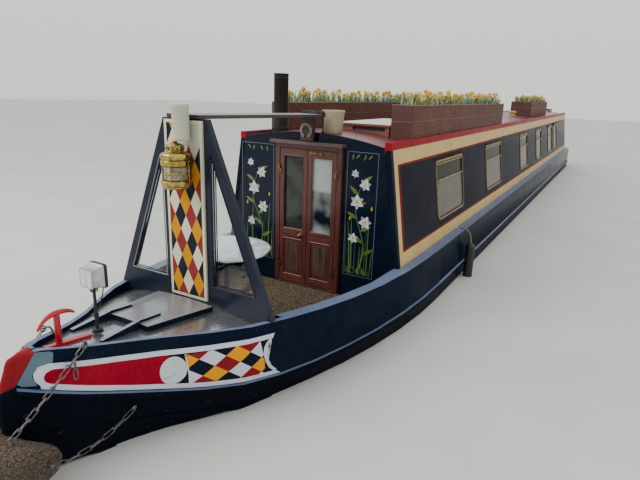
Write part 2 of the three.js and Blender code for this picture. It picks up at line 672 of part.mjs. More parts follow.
function makeFrontDoors() {
  const opening = prism("X", [
    [-DOOR.half - GAP, FRONT_DOOR.low - GAP],
    [DOOR.half + GAP, FRONT_DOOR.low - GAP],
    [DOOR.half + GAP, FRONT_DOOR.high + 26 + GAP],
    [-DOOR.half - GAP, FRONT_DOOR.high + 26 + GAP],
  ], -200, 200);
  const front = prism("X", bulkheadOutline(BASE_PLATE + GAP), -CABIN_WALL, 0);
  const upper = box(-100, 100, -900, 900, GUNWALE - GUNWALE_DEPTH - EPS, 2400).intersect(front);
  const fitted = join(front.intersect(bowInside(SHELL + GAP)), upper);
  piece("cabin_front", "navy", cut(fitted, opening));
  const cap = box(-CABIN_WALL, GAP, -DOOR.half, DOOR.half, CAP.low - EPS, CAP.high);
  const capBoard = box(GAP, CAP.reach, -CAP.half, CAP.half, CAP.low - EPS, CAP.high);
  const frame = doorFrame(0, 1, FRONT_DOOR.low, FRONT_DOOR.high);
  piece("front_door_frame", "wood", join(frame, cap, capBoard));
  for (const [name, side] of [["front_door_port", 1], ["front_door_starboard", -1]]) {
    piece(name, "wood", leaf(0, 1, side, FRONT_DOOR.low + 20, FRONT_DOOR.high - 50, 1350));
  }
}

function makeBackDoors() {
  const back = prism("X", bulkheadOutline(WELL_FLOOR), CABIN_BACK, CABIN_BACK + CABIN_WALL);
  const opening = box(CABIN_BACK - 50, CABIN_BACK + 100, -DOOR.half - GAP, DOOR.half + GAP, BACK_DOOR.low - GAP, 2400);
  piece("cabin_back", "navy", cut(back, opening));
  const frame = doorFrame(CABIN_BACK, -1, BACK_DOOR.low, BACK_DOOR.high + 46);
  const slot = box(CABIN_BACK - 100, CABIN_BACK + 100, -DOOR.clear, DOOR.clear, BACK_DOOR.low + 100, 2500);
  const trim = box(CABIN_BACK - 100, CABIN_BACK + 100, -500, 500, 2120, 2500);
  piece("back_door_frame", "wood", cut(frame, slot, trim));
  for (const [name, side] of [["back_door_port", 1], ["back_door_starboard", -1]]) {
    piece(name, "wood", leaf(CABIN_BACK, -1, side, BACK_DOOR.low + 20, BACK_DOOR.high - 4, 1900));
  }
}

// Stern: swim below, counter above, hollow under its deck, with the rudder's tube and the stern tube
const COUNTER_LOW = WATERLINE - 10;
const HOLD = [BASE_PLATE + GAP - EPS, COUNTER_LOW + 40];
const SHAFT_Z = 300;
function counterOutline(inset) {
  const round = Array.from({ length: 9 }, (_, i) => {
    const angle = (i / 8) * (Math.PI / 2);
    return [mix(-13950, STERN_END, Math.sin(angle)) + inset * Math.sin(angle), (HALF_BEAM - inset) * Math.cos(angle)];
  });
  const port = [[SWIM_START, HALF_BEAM - inset], ...round.slice(0, -1), [STERN_END + inset, 0]];
  return [...port, ...port.slice(0, -1).map(([x, y]) => [x, -y]).reverse()];
}

function swimRings(inset, low, high) {
  return SWIM.filter(({ foot }) => foot > inset + 40 || !inset).map(({ x, foot, head }) => [
    [x, foot - inset, low],
    [x, mix(foot, head, 0.6) - inset, mix(low, high, 0.5)],
    [x, head - inset, high],
    [x, inset - head, high],
    [x, inset - mix(foot, head, 0.6), mix(low, high, 0.5)],
    [x, inset - foot, low],
  ]);
}

function makeStern() {
  const low = BASE_PLATE + GAP;
  const counter = prism("Z", counterOutline(0), COUNTER_LOW, GUNWALE);
  const strake = cut(
    prism("Z", counterOutline(-22), strakeTop(0) - 45, strakeTop(0)),
    prism("Z", counterOutline(30), 0, 2000),
    box(SWIM_START, 0, -1200, 1200, 0, 2000),
  );
  const swim = loft(swimRings(0, low, COUNTER_LOW + EPS));
  const boss = rod("X", [0, 0, SHAFT_Z], 48, STERNPOST - 40, STERNPOST + 60);
  const inside = prism("Z", counterOutline(SHELL), COUNTER_LOW + 30, GUNWALE - 40);
  const fore = box(CABIN_BACK, SWIM_START + EPS, -HALF_BEAM + SHELL, HALF_BEAM - SHELL, COUNTER_LOW - 10, GUNWALE - GUNWALE_DEPTH);
  const foot = CABIN_FOOT - CABIN_WALL;
  const cabin = box(CABIN_BACK, SWIM_START + EPS, -foot, foot, GUNWALE - 60, GUNWALE + EPS);
  const hold = loft(swimRings(SHELL, ...HOLD));
  const tube = rod("Z", [RUDDER, 0, 0], 52, COUNTER_LOW - 20, GUNWALE + 12);
  const bore = rod("Z", [RUDDER, 0, 0], 31, 0, 2000);
  const body = join(cut(join(counter, swim), inside, fore, cabin, hold), strake, boss, tube);
  piece("stern", "blacking", cut(body, bore));
}

function makeSteering() {
  const stock = rod("Z", [RUDDER, 0, 0], 25, 40 + GAP, GUNWALE + 60);
  const collar = rod("Z", [RUDDER, 0, 0], 46, GUNWALE + 12 + GAP, GUNWALE + 40);
  const blade = prism("Y", [
    [RUDDER + 110, 75],
    [RUDDER + 110, 560],
    [RUDDER - 370, 560],
    [RUDDER - 370, 110],
    [RUDDER - 340, 75],
  ], -8, 8);
  const neck = bar([
    [RUDDER, 0, GUNWALE + 30],
    [RUDDER, 0, GUNWALE + 180],
    [RUDDER + 40, 0, GUNWALE + 420],
    [RUDDER + 180, 0, GUNWALE + 590],
    [RUDDER + 350, 0, GUNWALE + 640],
  ], 17, 16, 8);
  piece("rudder", "navy", join(stock, collar, blade, neck));
}

function makePropeller() {
  const shaft = rod("X", [0, 0, SHAFT_Z], 19, STERNPOST - 200, STERNPOST - 40 - GAP);
  const hub = rod("X", [0, 0, SHAFT_Z], 42, STERNPOST - 190, STERNPOST - 100);
  const blades = [0, 1, 2].map((i) => {
    const outline = new THREE.Shape([
      [-30, 20], [-75, 90], [-95, 150], [-70, 205], [0, 220], [70, 205], [95, 150], [75, 90], [30, 20],
    ].map(([u, v]) => new THREE.Vector2(u, v)));
    const geometry = new THREE.ExtrudeGeometry(outline, { depth: 9, bevelEnabled: false });
    geometry.translate(0, 0, -4.5);
    geometry.rotateY(Math.PI / 2 - 0.45);
    geometry.rotateX((i / 3) * 2 * Math.PI);
    return solid(geometry.translate(STERNPOST - 145, 0, SHAFT_Z));
  });
  piece("propeller", "brass", join(shaft, hub, ...blades));
}

// Cratch: an A-shaped frame over the well, with a centre board, two panes and the top plank
const FRAME = { aft: 1521, fore: 1566, footHalf: 688, headHalf: 186, head: 2428, leg: 66, sill: 1325 };
const legAt = (z) => mix(FRAME.footHalf, FRAME.headHalf, (z - gunwaleTop(CRATCH)) / (FRAME.head - gunwaleTop(CRATCH)));
const STILE = { inner: 118, outer: 206 };
const BOARD = { half: 161, low: 1219, high: 2418, depth: 16 };
const plankUnder = (x) => FRAME.head + GAP + (x - FRAME.aft) * 0.0175;

const PLANK_DEPTH = 24;
const PLANK_ENDS = [-20, 1575];
const STAY = { x: -16, y: 120, radius: 7, foot: 15 };
function plankSlab(starboard, port, grow) {
  const [aft, fore] = PLANK_ENDS;
  const outline = [
    [aft, plankUnder(aft)],
    [fore, plankUnder(fore)],
    [fore, plankUnder(fore) + PLANK_DEPTH + grow],
    [aft, plankUnder(aft) + PLANK_DEPTH + grow],
  ];
  return prism("Y", outline, starboard, port);
}

function makeCratch() {
  const foot = gunwaleTop(FRAME.fore) + 0.5 + GAP;
  const deckPoints = [-628, -420, -210, 0, 210, 420, 628].map((y) => [y, deckTop(FRAME.aft, y) - 10]);
  const sill = prism("X", [
    [-FRAME.footHalf, FRAME.sill],
    [-FRAME.footHalf, foot],
    [-629, foot],
    ...deckPoints,
    [629, foot],
    [FRAME.footHalf, foot],
    [FRAME.footHalf, FRAME.sill],
  ], FRAME.aft, FRAME.fore);
  const leg = prism("X", [
    [legAt(foot), foot],
    [legAt(FRAME.head), FRAME.head],
    [legAt(FRAME.head) - FRAME.leg, FRAME.head],
    [legAt(foot) - FRAME.leg, foot],
  ], FRAME.aft, FRAME.fore);
  const stile = box(FRAME.aft, FRAME.fore, STILE.inner, STILE.outer, FRAME.sill - EPS, FRAME.head);
  const head = box(FRAME.aft, FRAME.fore, -FRAME.headHalf, FRAME.headHalf, FRAME.head - 70, FRAME.head);
  const inside = prism("X", [
    [-legAt(foot), foot - 300],
    [-legAt(foot), foot],
    [-legAt(FRAME.head), FRAME.head],
    [legAt(FRAME.head), FRAME.head],
    [legAt(foot), foot],
    [legAt(foot), foot - 300],
  ], FRAME.aft, FRAME.fore);
  const frame = onDeck(join(sill, leg, mirrored(leg), stile, mirrored(stile), head).intersect(inside));
  piece("cratch_frame", "navy", frame);

  const { half, low, high, depth } = BOARD;
  piece("cratch_board", "cream", box(FRAME.fore + GAP, FRAME.fore + depth, -half, half, low, high));

  const inner = (z) => legAt(z) - FRAME.leg - 1.2;
  const paneHead = gunwaleTop(CRATCH) + (FRAME.head - gunwaleTop(CRATCH)) *
    ((FRAME.footHalf - FRAME.leg - STILE.outer - 4) / (FRAME.footHalf - FRAME.headHalf));
  const pane = prism("X", [
    [STILE.outer + GAP, FRAME.sill + GAP],
    [inner(FRAME.sill + GAP), FRAME.sill + GAP],
    [inner(paneHead), paneHead],
    [STILE.outer + GAP, paneHead],
  ], CRATCH - 3, CRATCH + 3);
  piece("cratch_glass_port", "glass", pane);
  piece("cratch_glass_starboard", "glass", mirrored(pane));

  const plank = plankSlab(-140, 140, 0);
  const stayPlace = [STAY.x, STAY.y, 0];
  const stayLow = roofAt(STAY.y - STAY.foot) + GAP;
  const stay = rod("Z", stayPlace, STAY.radius, stayLow, plankUnder(STAY.x) + 2, 8);
  const stayFoot = rod("Z", stayPlace, STAY.foot, stayLow, stayLow + 8, 12);
  piece("top_plank", "plank", join(plank, stay, stayFoot));
  const bracket = box(18, 58, -70, 62, CAP.high + GAP, plankUnder(18) - GAP);
  piece("plank_bracket", "wood", bracket);
  const cover = rod("Y", [6, 0, plankUnder(6) + PLANK_DEPTH + 6], 27, -88, 150, 12);
  piece("rolled_cover", "canvas", cut(cover, plankSlab(-300, 300, GAP)));
}

// Lantern on the centre board, with the pale lamp body above it
function makeLanterns() {
  const front = FRAME.fore + BOARD.depth + GAP;
  const centre = [front + 98, 10, 0];
  const lantern = turned([
    [0, 1972], [82, 1972], [88, 1990], [95, 1996], [95, 2150], [90, 2165], [92, 2185],
    [60, 2205], [52, 2232], [58, 2240], [34, 2258], [0, 2262],
  ], centre, 20);
  const mount = box(front, centre[0], -30, 50, 2000, 2130);
  piece("lantern", "brass", join(lantern, mount));
  const can = turned([[0, 2262], [62, 2262], [66, 2270], [66, 2515], [60, 2525], [0, 2525]], [front + 70, 22, 0], 20);
  const arm = box(front, front + 60, 6, 38, 2300, 2400);
  piece("pale_lamp", "greyWhite", join(can, arm));
}

// Deck fittings
function makeTStud() {
  const [x, foot] = [2555, deckTop(2555, 0) + 24];
  const post = rod("Z", [x, 0, 0], 17, foot, 1452, 10);
  const horns = bar([
    [x + 108, 0, 1396],
    [x + 78, 0, 1436],
    [x, 0, 1458],
    [x - 66, 0, 1450],
    [x - 98, 0, 1432],
  ], 15, 12, 8);
  piece("t_stud", "red", join(post, horns));
}

const LAMP = { x: 2318, foot: deckTop(2318, 0) + 12 };
const CABLE_LEAVES = { x: LAMP.x - 52, z: 1580 };
function makeHeadlamp() {
  const { x, foot } = LAMP;
  const base = rod("Z", [x, 0, 0], 26, foot + 4 + GAP, foot + 24, 12);
  const plate = rod("Z", [x, 0, 0], 34, foot + GAP, foot + 6, 12);
  const post = rod("Z", [x, 0, 0], 9, foot + 4, 1520, 8);
  const body = loft([
    [[x - 40, -45, 1535], [x - 40, 45, 1535], [x - 40, 45, 1655], [x - 40, -45, 1655]],
    [[x + 45, -70, 1508], [x + 45, 70, 1508], [x + 45, 70, 1680], [x + 45, -70, 1680]],
  ]);
  const yoke = box(x - 20, x + 20, -16, 16, 1505, 1545);
  const gland = rod("X", [0, 0, CABLE_LEAVES.z], 7, CABLE_LEAVES.x, x - 39, 10);
  piece("headlamp", "steel", onDeck(join(base, plate, post, body, yoke, gland)));
}

// The lamp's cable, held at both ends: from the back of the lamp to a gland on the deck
const CABLE = [
  [CABLE_LEAVES.x - 0.5, 0, CABLE_LEAVES.z],
  [CABLE_LEAVES.x - 14, 0, CABLE_LEAVES.z],
  [CABLE_LEAVES.x - 30, -14, 1545],
  [CABLE_LEAVES.x - 36, -40, 1470],
  [CABLE_LEAVES.x - 46, -90, 1370],
  [CABLE_LEAVES.x - 62, -150, 1300],
  [CABLE_GLAND[0], CABLE_GLAND[1], deckTop(...CABLE_GLAND) + 36],
  [CABLE_GLAND[0], CABLE_GLAND[1], deckTop(...CABLE_GLAND) + 12.6],
];
function makeCable() {
  piece("lamp_cable", "rubber", bar(CABLE, 3.5, 18, 8));
}

// Bow fender, which bends round the stem and sits on it, and the chains that hold it
const FENDER = { x: 2946, z: 820, half: 265, radius: 125, sweep: 105 };
const FENDER_ENDS = {
  top: [FENDER.x - 15, 120, FENDER.z + FENDER.radius + 12],
  tip: [FENDER.x - FENDER.sweep, FENDER.half + 20, FENDER.z],
};
const FENDER_TAPER = [[-1, 0.5], [-0.94, 0.78], [-0.7, 0.94], [-0.35, 1], [0, 1], [0.35, 1], [0.7, 0.94], [0.94, 0.78], [1, 0.5]];
function fenderBody(grow) {
  const rings = FENDER_TAPER.map(([part, fullness]) => {
    const centre = FENDER.x - FENDER.sweep * part * part;
    const radius = FENDER.radius * fullness + grow;
    return Array.from({ length: 16 }, (_, i) => {
      const angle = (i / 16) * 2 * Math.PI;
      return [part * (FENDER.half + grow), -centre + radius * Math.cos(angle), FENDER.z + radius * Math.sin(angle)];
    });
  });
  return loft(rings).rotate([0, 0, 90]);
}

// The fender's core, on the port side: in at the top, out at the tip
function fenderCore(grow) {
  const { top, tip } = FENDER_ENDS;
  const { z, half } = FENDER;
  const upper = rod("Z", [top[0], top[1], 0], 14 + grow, z, top[2] + 6, 8);
  const outer = rod("Y", [tip[0], 0, tip[2]], 14 + grow, half - 30, tip[1] + 6, 8);
  const inner = bar([[top[0], top[1], z], [tip[0], half - 25, z]], 13 + grow, 2, 8);
  return join(upper, outer, inner);
}

function makeBowFender() {
  const seated = cut(fenderBody(0), stemBar(GAP), foreEndSkin(GAP));
  const core = fenderCore(GAP);
  piece("bow_fender", "coir", cut(seated, core, mirrored(core)));
}

function chain(from, to, sag, pitch = 58, wire = 4.6) {
  const [a, b] = [new THREE.Vector3(...from), new THREE.Vector3(...to)];
  const middle = a.clone().add(b).multiplyScalar(0.5).add(new THREE.Vector3(0, 0, -sag));
  const curve = new THREE.QuadraticBezierCurve3(a, middle, b);
  const count = Math.round(curve.getLength() / pitch);
  const links = [];
  for (let i = 0; i < count; i++) {
    const at = curve.getPointAt((i + 0.5) / count);
    const along = curve.getTangentAt((i + 0.5) / count);
    const flat = new THREE.Vector3(-along.y, along.x, 0).normalize();
    const side = i % 2 ? flat : new THREE.Vector3().crossVectors(along, flat);
    const half = (curve.getLength() / count) * 0.5 + wire * 0.9;
    const width = wire * 2.4;
    const round = [[-half, 0], [-half + width * 0.6, width], [half - width * 0.6, width], [half, 0],
      [half - width * 0.6, -width], [-half + width * 0.6, -width]];
    const ring = round.map(([u, v]) => at.clone().addScaledVector(along, u).addScaledVector(side, v));
    const normal = new THREE.Vector3().crossVectors(along, side).normalize();
    links.push(solid(linkGeometry(ring, normal, wire)));
  }
  return join(...links);
}

// A closed link: a square wire round a six-sided ring, built ring by ring
function linkGeometry(ring, normal, wire) {
  const centre = ring.reduce((sum, p) => sum.add(p), new THREE.Vector3()).multiplyScalar(1 / ring.length);
  const positions = [];
  for (const p of ring) {
    const out = p.clone().sub(centre).normalize();
    for (const [u, v] of [[1, 0], [0, 1], [-1, 0], [0, -1]]) {
      const q = p.clone().addScaledVector(out, u * wire).addScaledVector(normal, v * wire);
      positions.push(q.x, q.y, q.z);
    }
  }
  const index = [];
  for (let i = 0; i < ring.length; i++) {
    for (let k = 0; k < 4; k++) {
      const a = i * 4 + k;
      const b = i * 4 + ((k + 1) % 4);
      const c = ((i + 1) % ring.length) * 4 + ((k + 1) % 4);
      const d = ((i + 1) % ring.length) * 4 + k;
      index.push(a, b, c, a, c, d);
    }
  }
  const geometry = new THREE.BufferGeometry();
  geometry.setAttribute("position", new THREE.Float32BufferAttribute(positions, 3));
  geometry.setIndex(index);
  return geometry;
}

function makeChains() {
  const ring = [2530, 176, 1308];
  const plate = [2328, 271, 853];
  const upper = chain(ring, FENDER_ENDS.top, 25);
  const lower = chain(plate, FENDER_ENDS.tip, 60, 74);
  const staple = bar([[2500, 135, 1270], [2502, 139, 1314], [2516, 158, 1322], ring], 6, 8, 6);
  const eye = bar([[2292, 228, 838], plate], 7, 2, 6);
  const port = join(upper, lower, eye, staple, fenderCore(0));
  const hull = foreEndSkin(GAP);
  piece("fender_chain_port", "galvanised", cut(port, hull));
  piece("fender_chain_starboard", "galvanised", cut(mirrored(port), hull));
}

// Things on the roof and in the well
function makeChimney() {
  const [x, y] = [-270, -500];
  const foot = roofAt(Math.abs(y) + 100);
  const profile = [[60, foot], [88, foot], [88, foot + 70], [72, foot + 74], [70, 2772], [60, 2772]];
  const geometry = new THREE.LatheGeometry([...profile, profile[0]].map(([r, z]) => new THREE.Vector2(r, z)), 24);
  const stack = solid(geometry.rotateX(Math.PI / 2).translate(x, y, 0));
  piece("chimney", "iron", onRoof(stack));
}

// Troughs, one row for each: name, ends, side nearest port, width, foot, height. Two stand on the edge rails.
const ON_RAIL = RAIL.top + GAP;
const PLANTERS = [
  { name: "planter_port", aft: -4550, fore: -540, port: 758, width: 213, foot: ON_RAIL, height: 300 },
  { name: "planter_starboard", aft: -4600, fore: -480, port: -545, width: 213, foot: ON_RAIL, height: 280 },
  { name: "planter_aft", aft: -10900, fore: -8350, port: 600, width: 430, foot: roofAt(170), height: 280 },
];
const PLANTER = { floor: 40, wall: 22, groove: 148, grooveWidth: 6 };
function makePlanters() {
  const { floor, wall, groove, grooveWidth } = PLANTER;
  const inRails = CABIN_HEAD + 3 - RAIL.width - GAP;
  for (const { name, aft, fore, port, width, foot, height } of PLANTERS) {
    const upper = box(aft, fore, port - width, port, foot, foot + height);
    const [from, to] = [Math.max(port - width, -inRails), Math.min(port, inRails)];
    const trough = join(upper, box(aft, fore, from, to, ROOF_EDGE + 20, foot + EPS));
    const bed = box(aft + wall, fore - wall, port - width + wall, port - wall, foot + floor, foot + height + EPS);
    const line = box(aft - EPS, fore + EPS, port - 3, port + EPS, foot + groove, foot + groove + grooveWidth);
    piece(name, "plank", onRoof(cut(trough, bed, line)));
  }
}

function makeRoofThings() {
  const boxTop = 2337;
  const lid = box(-1750, -540, -40, 540, boxTop - 22, boxTop);
  const body = box(-1730, -560, -24, 524, ROOF_EDGE + 20, boxTop - 20);
  const slot = box(-580, -550, 145, 478, boxTop - 65, boxTop - 35);
  piece("roof_box", "wood", onRoof(cut(join(lid, body), slot)));
  const potFoot = roofAt(49);
  piece("pot", "stone", onRoof(turned([
    [0, potFoot - 10], [84, potFoot - 10], [101, potFoot + 168], [110, potFoot + 170], [110, potFoot + 193],
    [98, potFoot + 193], [80, potFoot + 20], [0, potFoot + 20],
  ], [-180, 131, 0], 24)));
  const ventFoot = roofAt(400);
  piece("mushroom_vent", "brass", onRoof(turned([
    [0, ventFoot], [62, ventFoot], [62, ventFoot + 24], [48, ventFoot + 28], [48, ventFoot + 70],
    [90, ventFoot + 72], [88, ventFoot + 88], [60, ventFoot + 106], [0, ventFoot + 114],
  ], [-7750, 330, 0], 20)));
}

function makeTable() {
  const [x, y] = [1130, -40];
  piece("table", "iron", turned([
    [0, WELL_FLOOR + GAP], [190, WELL_FLOOR + GAP], [190, WELL_FLOOR + 14], [26, WELL_FLOOR + 34],
    [20, WELL_FLOOR + 60], [20, 1410], [60, 1438], [330, 1438], [338, 1444], [338, 1460], [0, 1460],
  ], [x, y, 0], 22));
}

function makeSideFender() {
  const [x, y] = [-1790, HALF_BEAM + 22 + GAP + 54];
  const body = turned([
    [0, 480], [40, 484], [54, 510], [54, 960], [40, 988], [14, 1000], [0, 1000],
  ], [x, y, 0], 16);
  const hook = GUNWALE + 6 + GAP;
  const hanger = bar([[x, y, 990], [x, y - 20, 1100], [x, HALF_BEAM + 4, hook], [x, HALF_BEAM - 40, hook]], 6, 10, 6);
  piece("side_fender", "rubber", join(body, hanger));
}

makeBasePlate();
makeForeEnd();
for (const [name, side] of [["hull_side_port", 1], ["hull_side_starboard", -1]]) {
  piece(name, "blacking", prism("X", hullSideOutline(side), SWIM_START + GAP, TAPER_START - GAP));
}
makeForedeck();
makeLockerLid();
makeFloors();
makeCabinSide("cabin_side_port", 1);
makeCabinSide("cabin_side_starboard", -1);
WINDOWS.forEach((row, i) => {
  makeWindow(`window_port_${i + 1}`, 1, row);
  makeWindow(`window_starboard_${i + 1}`, -1, row);
});
makeRoof();
makeSlidingHatch();
makeFrontDoors();
makeBackDoors();
makeStern();
makeSteering();
makePropeller();
makeCratch();
makeLanterns();
makeTStud();
makeHeadlamp();
makeCable();
makeBowFender();
makeChains();
makeChimney();
makePlanters();
makeRoofThings();
makeTable();
makeSideFender();
piece("engine", "iron", box(-13000, -12150, -260, 260, CABIN_FLOOR + GAP, CABIN_FLOOR + 620));

export default boat;
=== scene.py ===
# %% [markdown]
# # A steel narrowboat, dressed around its measured frame
# The frame holds every plate, board and fitting at its real size, with the moving ones on their
# joints. This lesson gives each the surface that the eye meets: gloss paint, varnish, brass, rope,
# glass and plants. The bow is at +X and port at +Y, Z runs up from under the base plate, in metres.

# %% The frame
import json
import math
import random
from math import cos, pi, radians, sin, tau

import bmesh
import bpy
from mathutils import Matrix, Vector
from mathutils.bvhtree import BVHTree

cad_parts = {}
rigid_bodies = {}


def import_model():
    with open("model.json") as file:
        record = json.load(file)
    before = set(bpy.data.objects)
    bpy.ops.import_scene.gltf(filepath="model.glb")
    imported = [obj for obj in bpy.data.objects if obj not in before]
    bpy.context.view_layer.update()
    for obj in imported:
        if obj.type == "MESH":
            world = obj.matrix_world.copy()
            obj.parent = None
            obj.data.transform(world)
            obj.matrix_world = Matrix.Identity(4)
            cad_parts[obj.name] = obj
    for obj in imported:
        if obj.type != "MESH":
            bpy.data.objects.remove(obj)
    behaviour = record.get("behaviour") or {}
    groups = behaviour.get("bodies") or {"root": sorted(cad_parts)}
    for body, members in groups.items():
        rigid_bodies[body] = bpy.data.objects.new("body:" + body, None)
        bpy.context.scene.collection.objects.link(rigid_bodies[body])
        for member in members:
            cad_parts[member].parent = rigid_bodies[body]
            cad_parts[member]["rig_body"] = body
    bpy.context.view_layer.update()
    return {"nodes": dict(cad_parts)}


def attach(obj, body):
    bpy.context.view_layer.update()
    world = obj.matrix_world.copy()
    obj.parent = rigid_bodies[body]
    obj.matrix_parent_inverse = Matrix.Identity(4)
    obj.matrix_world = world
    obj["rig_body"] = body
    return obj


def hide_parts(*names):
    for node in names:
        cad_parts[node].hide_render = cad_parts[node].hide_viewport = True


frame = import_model()
NODES = frame["nodes"]
MM = 0.001
WATERLINE = 0.6

# %% [markdown]
# ## The camera
# The view is from the quay, a little above head height and ahead of the bow, through a wide lens. A
# camera is a matrix whose columns are the ways right, up and back, written here from a heading, a
# dip and a small roll.

# %% Camera
EYE = Vector((4.058, 2.426, WATERLINE + 2.018))
HEADING, DIP, ROLL = (radians(angle) for angle in (29.44, 15.98, 1.87))
FOCAL_LENGTH = 29.18
SENSOR = 36.0


def make_camera():
    """A camera that looks aft along the boat from off her port bow."""
    level = cos(DIP)
    ahead = Vector((-cos(HEADING) * level, -sin(HEADING) * level, -sin(DIP)))
    right = ahead.cross(Vector((0, 0, 1))).normalized()
    up = right.cross(ahead)
    turned_right = right * cos(ROLL) + up * sin(ROLL)
    turned_up = up * cos(ROLL) - right * sin(ROLL)
    camera = bpy.data.objects.new("camera", bpy.data.cameras.new("camera"))
    camera.data.lens = FOCAL_LENGTH
    camera.data.sensor_width = SENSOR
    camera.data.sensor_fit = "HORIZONTAL"
    camera.data.clip_start = 0.05
    camera.data.clip_end = 300
    axes = Matrix((turned_right, turned_up, -ahead)).transposed().to_4x4()
    camera.matrix_world = Matrix.Translation(EYE) @ axes
    bpy.context.scene.collection.objects.link(camera)
    bpy.context.scene.camera = camera


make_camera()

# %% [markdown]
# ## Node helpers
# Every finish here is drawn by nodes. One function adds a node and fills its sockets, with a value
# or with a link, and a class holds a material while its patterns are made. Colours are written in
# sRGB hex, as on a paint card, and turned to the linear light that the renderer adds up.

# %% Colours and nodes
def colour(code):
    """An sRGB hex code as linear red, green, blue and alpha."""
    values = [int(code[i : i + 2], 16) / 255 for i in (1, 3, 5)]
    return [v / 12.92 if v <= 0.04045 else ((v + 0.055) / 1.055) ** 2.4 for v in values] + [1.0]


def add(tree, kind, sockets=None, **settings):
    """Adds one node; a socket's value is a number, a colour, or the output that feeds it."""
    made = tree.nodes.new("ShaderNode" + kind)
    for name, value in settings.items():
        setattr(made, name, value)
    for socket, value in (sockets or {}).items():
        if isinstance(value, bpy.types.NodeSocket):
            tree.links.new(value, made.inputs[socket])
        else:
            made.inputs[socket].default_value = value
    return made


def blend_colours(tree, amount, low, high):
    """The colour between two hex codes, or sockets, by an amount from 0 to 1."""
    made = add(tree, "Mix", {"Factor": amount}, data_type="RGBA")
    for socket, value in (("A", low), ("B", high)):
        slot = [i for i in made.inputs if i.name == socket and i.type == "RGBA"][0]
        if isinstance(value, str):
            slot.default_value = colour(value)
        else:
            tree.links.new(value, slot)
    return [o for o in made.outputs if o.type == "RGBA"][0]


class Finish:
    """A material with one shader. Its patterns lie on the object's coordinates, in metres."""

    def __init__(self, name, **sockets):
        """The shader's own values are given by its sockets' names, with _ for a space."""
        self.made = bpy.data.materials.new(name)
        self.made.use_nodes = True
        self.tree = self.made.node_tree
        self.tree.nodes.clear()
        values = {socket.replace("_", " "): value for socket, value in sockets.items()}
        self.shader = add(self.tree, "BsdfPrincipled", values)
        out = add(self.tree, "OutputMaterial", {"Surface": self.shader.outputs[0]})
        out.location = (400, 0)
        self.place = add(self.tree, "TexCoord").outputs["Object"]

    def feed(self, socket, source):
        """Links an output to one of the shader's sockets."""
        self.tree.links.new(source, self.shader.inputs[socket])

    def fed_by(self, socket):
        """The output that feeds one of the shader's sockets now."""
        return self.shader.inputs[socket].links[0].from_socket

    def stretched(self, scale):
        """The object's coordinates, scaled along their axes."""
        return add(self.tree, "Mapping", {"Vector": self.place, "Scale": scale}).outputs["Vector"]

    def noise(self, size, detail=1.0, place=None, distortion=0.0):
        """Noise of a real size."""
        place = self.place if place is None else place
        sockets = {"Vector": place, "Scale": 1 / size, "Detail": detail, "Distortion": distortion}
        return add(self.tree, "TexNoise", sockets).outputs["Fac"]

    def wave(self, scale, direction="X", distortion=0.0):
        """Bands across one axis."""
        sockets = {"Vector": self.place, "Scale": scale, "Distortion": distortion}
        return add(self.tree, "TexWave", sockets, bands_direction=direction).outputs["Fac"]

    def share(self, value, low, high):
        """How far a value has come from one limit to the other, from 0 to 1."""
        limits = {"Value": value, "From Min": low, "From Max": high}
        return add(self.tree, "MapRange", limits).outputs["Result"]

    def spread(self, value, low, high):
        """A value from 0 to 1, moved to lie between two others."""
        limits = {"Value": value, "To Min": low, "To Max": high}
        return add(self.tree, "MapRange", limits).outputs["Result"]

    def maths(self, operation, one, other):
        """Two values, added, multiplied or compared."""
        return add(self.tree, "Math", {0: one, 1: other}, operation=operation).outputs[0]

    def patches(self, size, low, high, detail=3.0, place=None):
        """Soft patches of a real size: 0 where the noise is under low, 1 above high."""
        return self.share(self.noise(size, detail, place), low, high)

    def blend(self, amount, low, high):
        """The colour between two hex codes or outputs."""
        return blend_colours(self.tree, amount, low, high)

    def tint(self, amount, low, high):
        """Colours the shader with a blend."""
        self.feed("Base Color", self.blend(amount, low, high))

    def rough(self, amount, low, high):
        """Lets a pattern move the roughness between two values."""
        self.feed("Roughness", self.spread(amount, low, high))

    def relief(self, height, depth):
        """Bumps of a real depth, in metres."""
        bump = add(self.tree, "Bump", {"Height": height, "Distance": depth, "Strength": 1.0})
        self.feed("Normal", bump.outputs["Normal"])


# %% [markdown]
# ## Paint
# A narrowboat wears alkyd gloss, rolled on steel. The plate waves a little between its frames, the
# roller leaves a fine peel, and dust dries in pale specks. One function makes every gloss on the
# boat, from a colour, a roughness and how much dust has settled on it.

# %% Gloss paint
PEEL, WAVE, DUST = 3 * MM, 450 * MM, 5 * MM


def gloss(name, code, faded, roughness=0.16, dust=0.5, wave=0.6 * MM, level=0.5, more=None, **sockets):
    """Brushed alkyd gloss on steel: a colour, the same colour faded, and its dust."""
    made = Finish(name, Specular_IOR_Level=level, **sockets)
    paint = made.blend(made.patches(260 * MM, 0.35, 0.75), code, faded)
    specks = made.patches(DUST, 0.69, 0.75, 1.0)
    made.tint(made.maths("MULTIPLY", specks, dust * 0.35), paint, "#b9b6aa")
    made.rough(made.patches(140 * MM, 0.3, 0.8), roughness, roughness + 0.12)
    peel = made.maths("MULTIPLY", made.noise(PEEL), 0.02)
    made.relief(made.maths("ADD", made.noise(WAVE), peel), wave)
    if more:
        more(made)
    return made.made


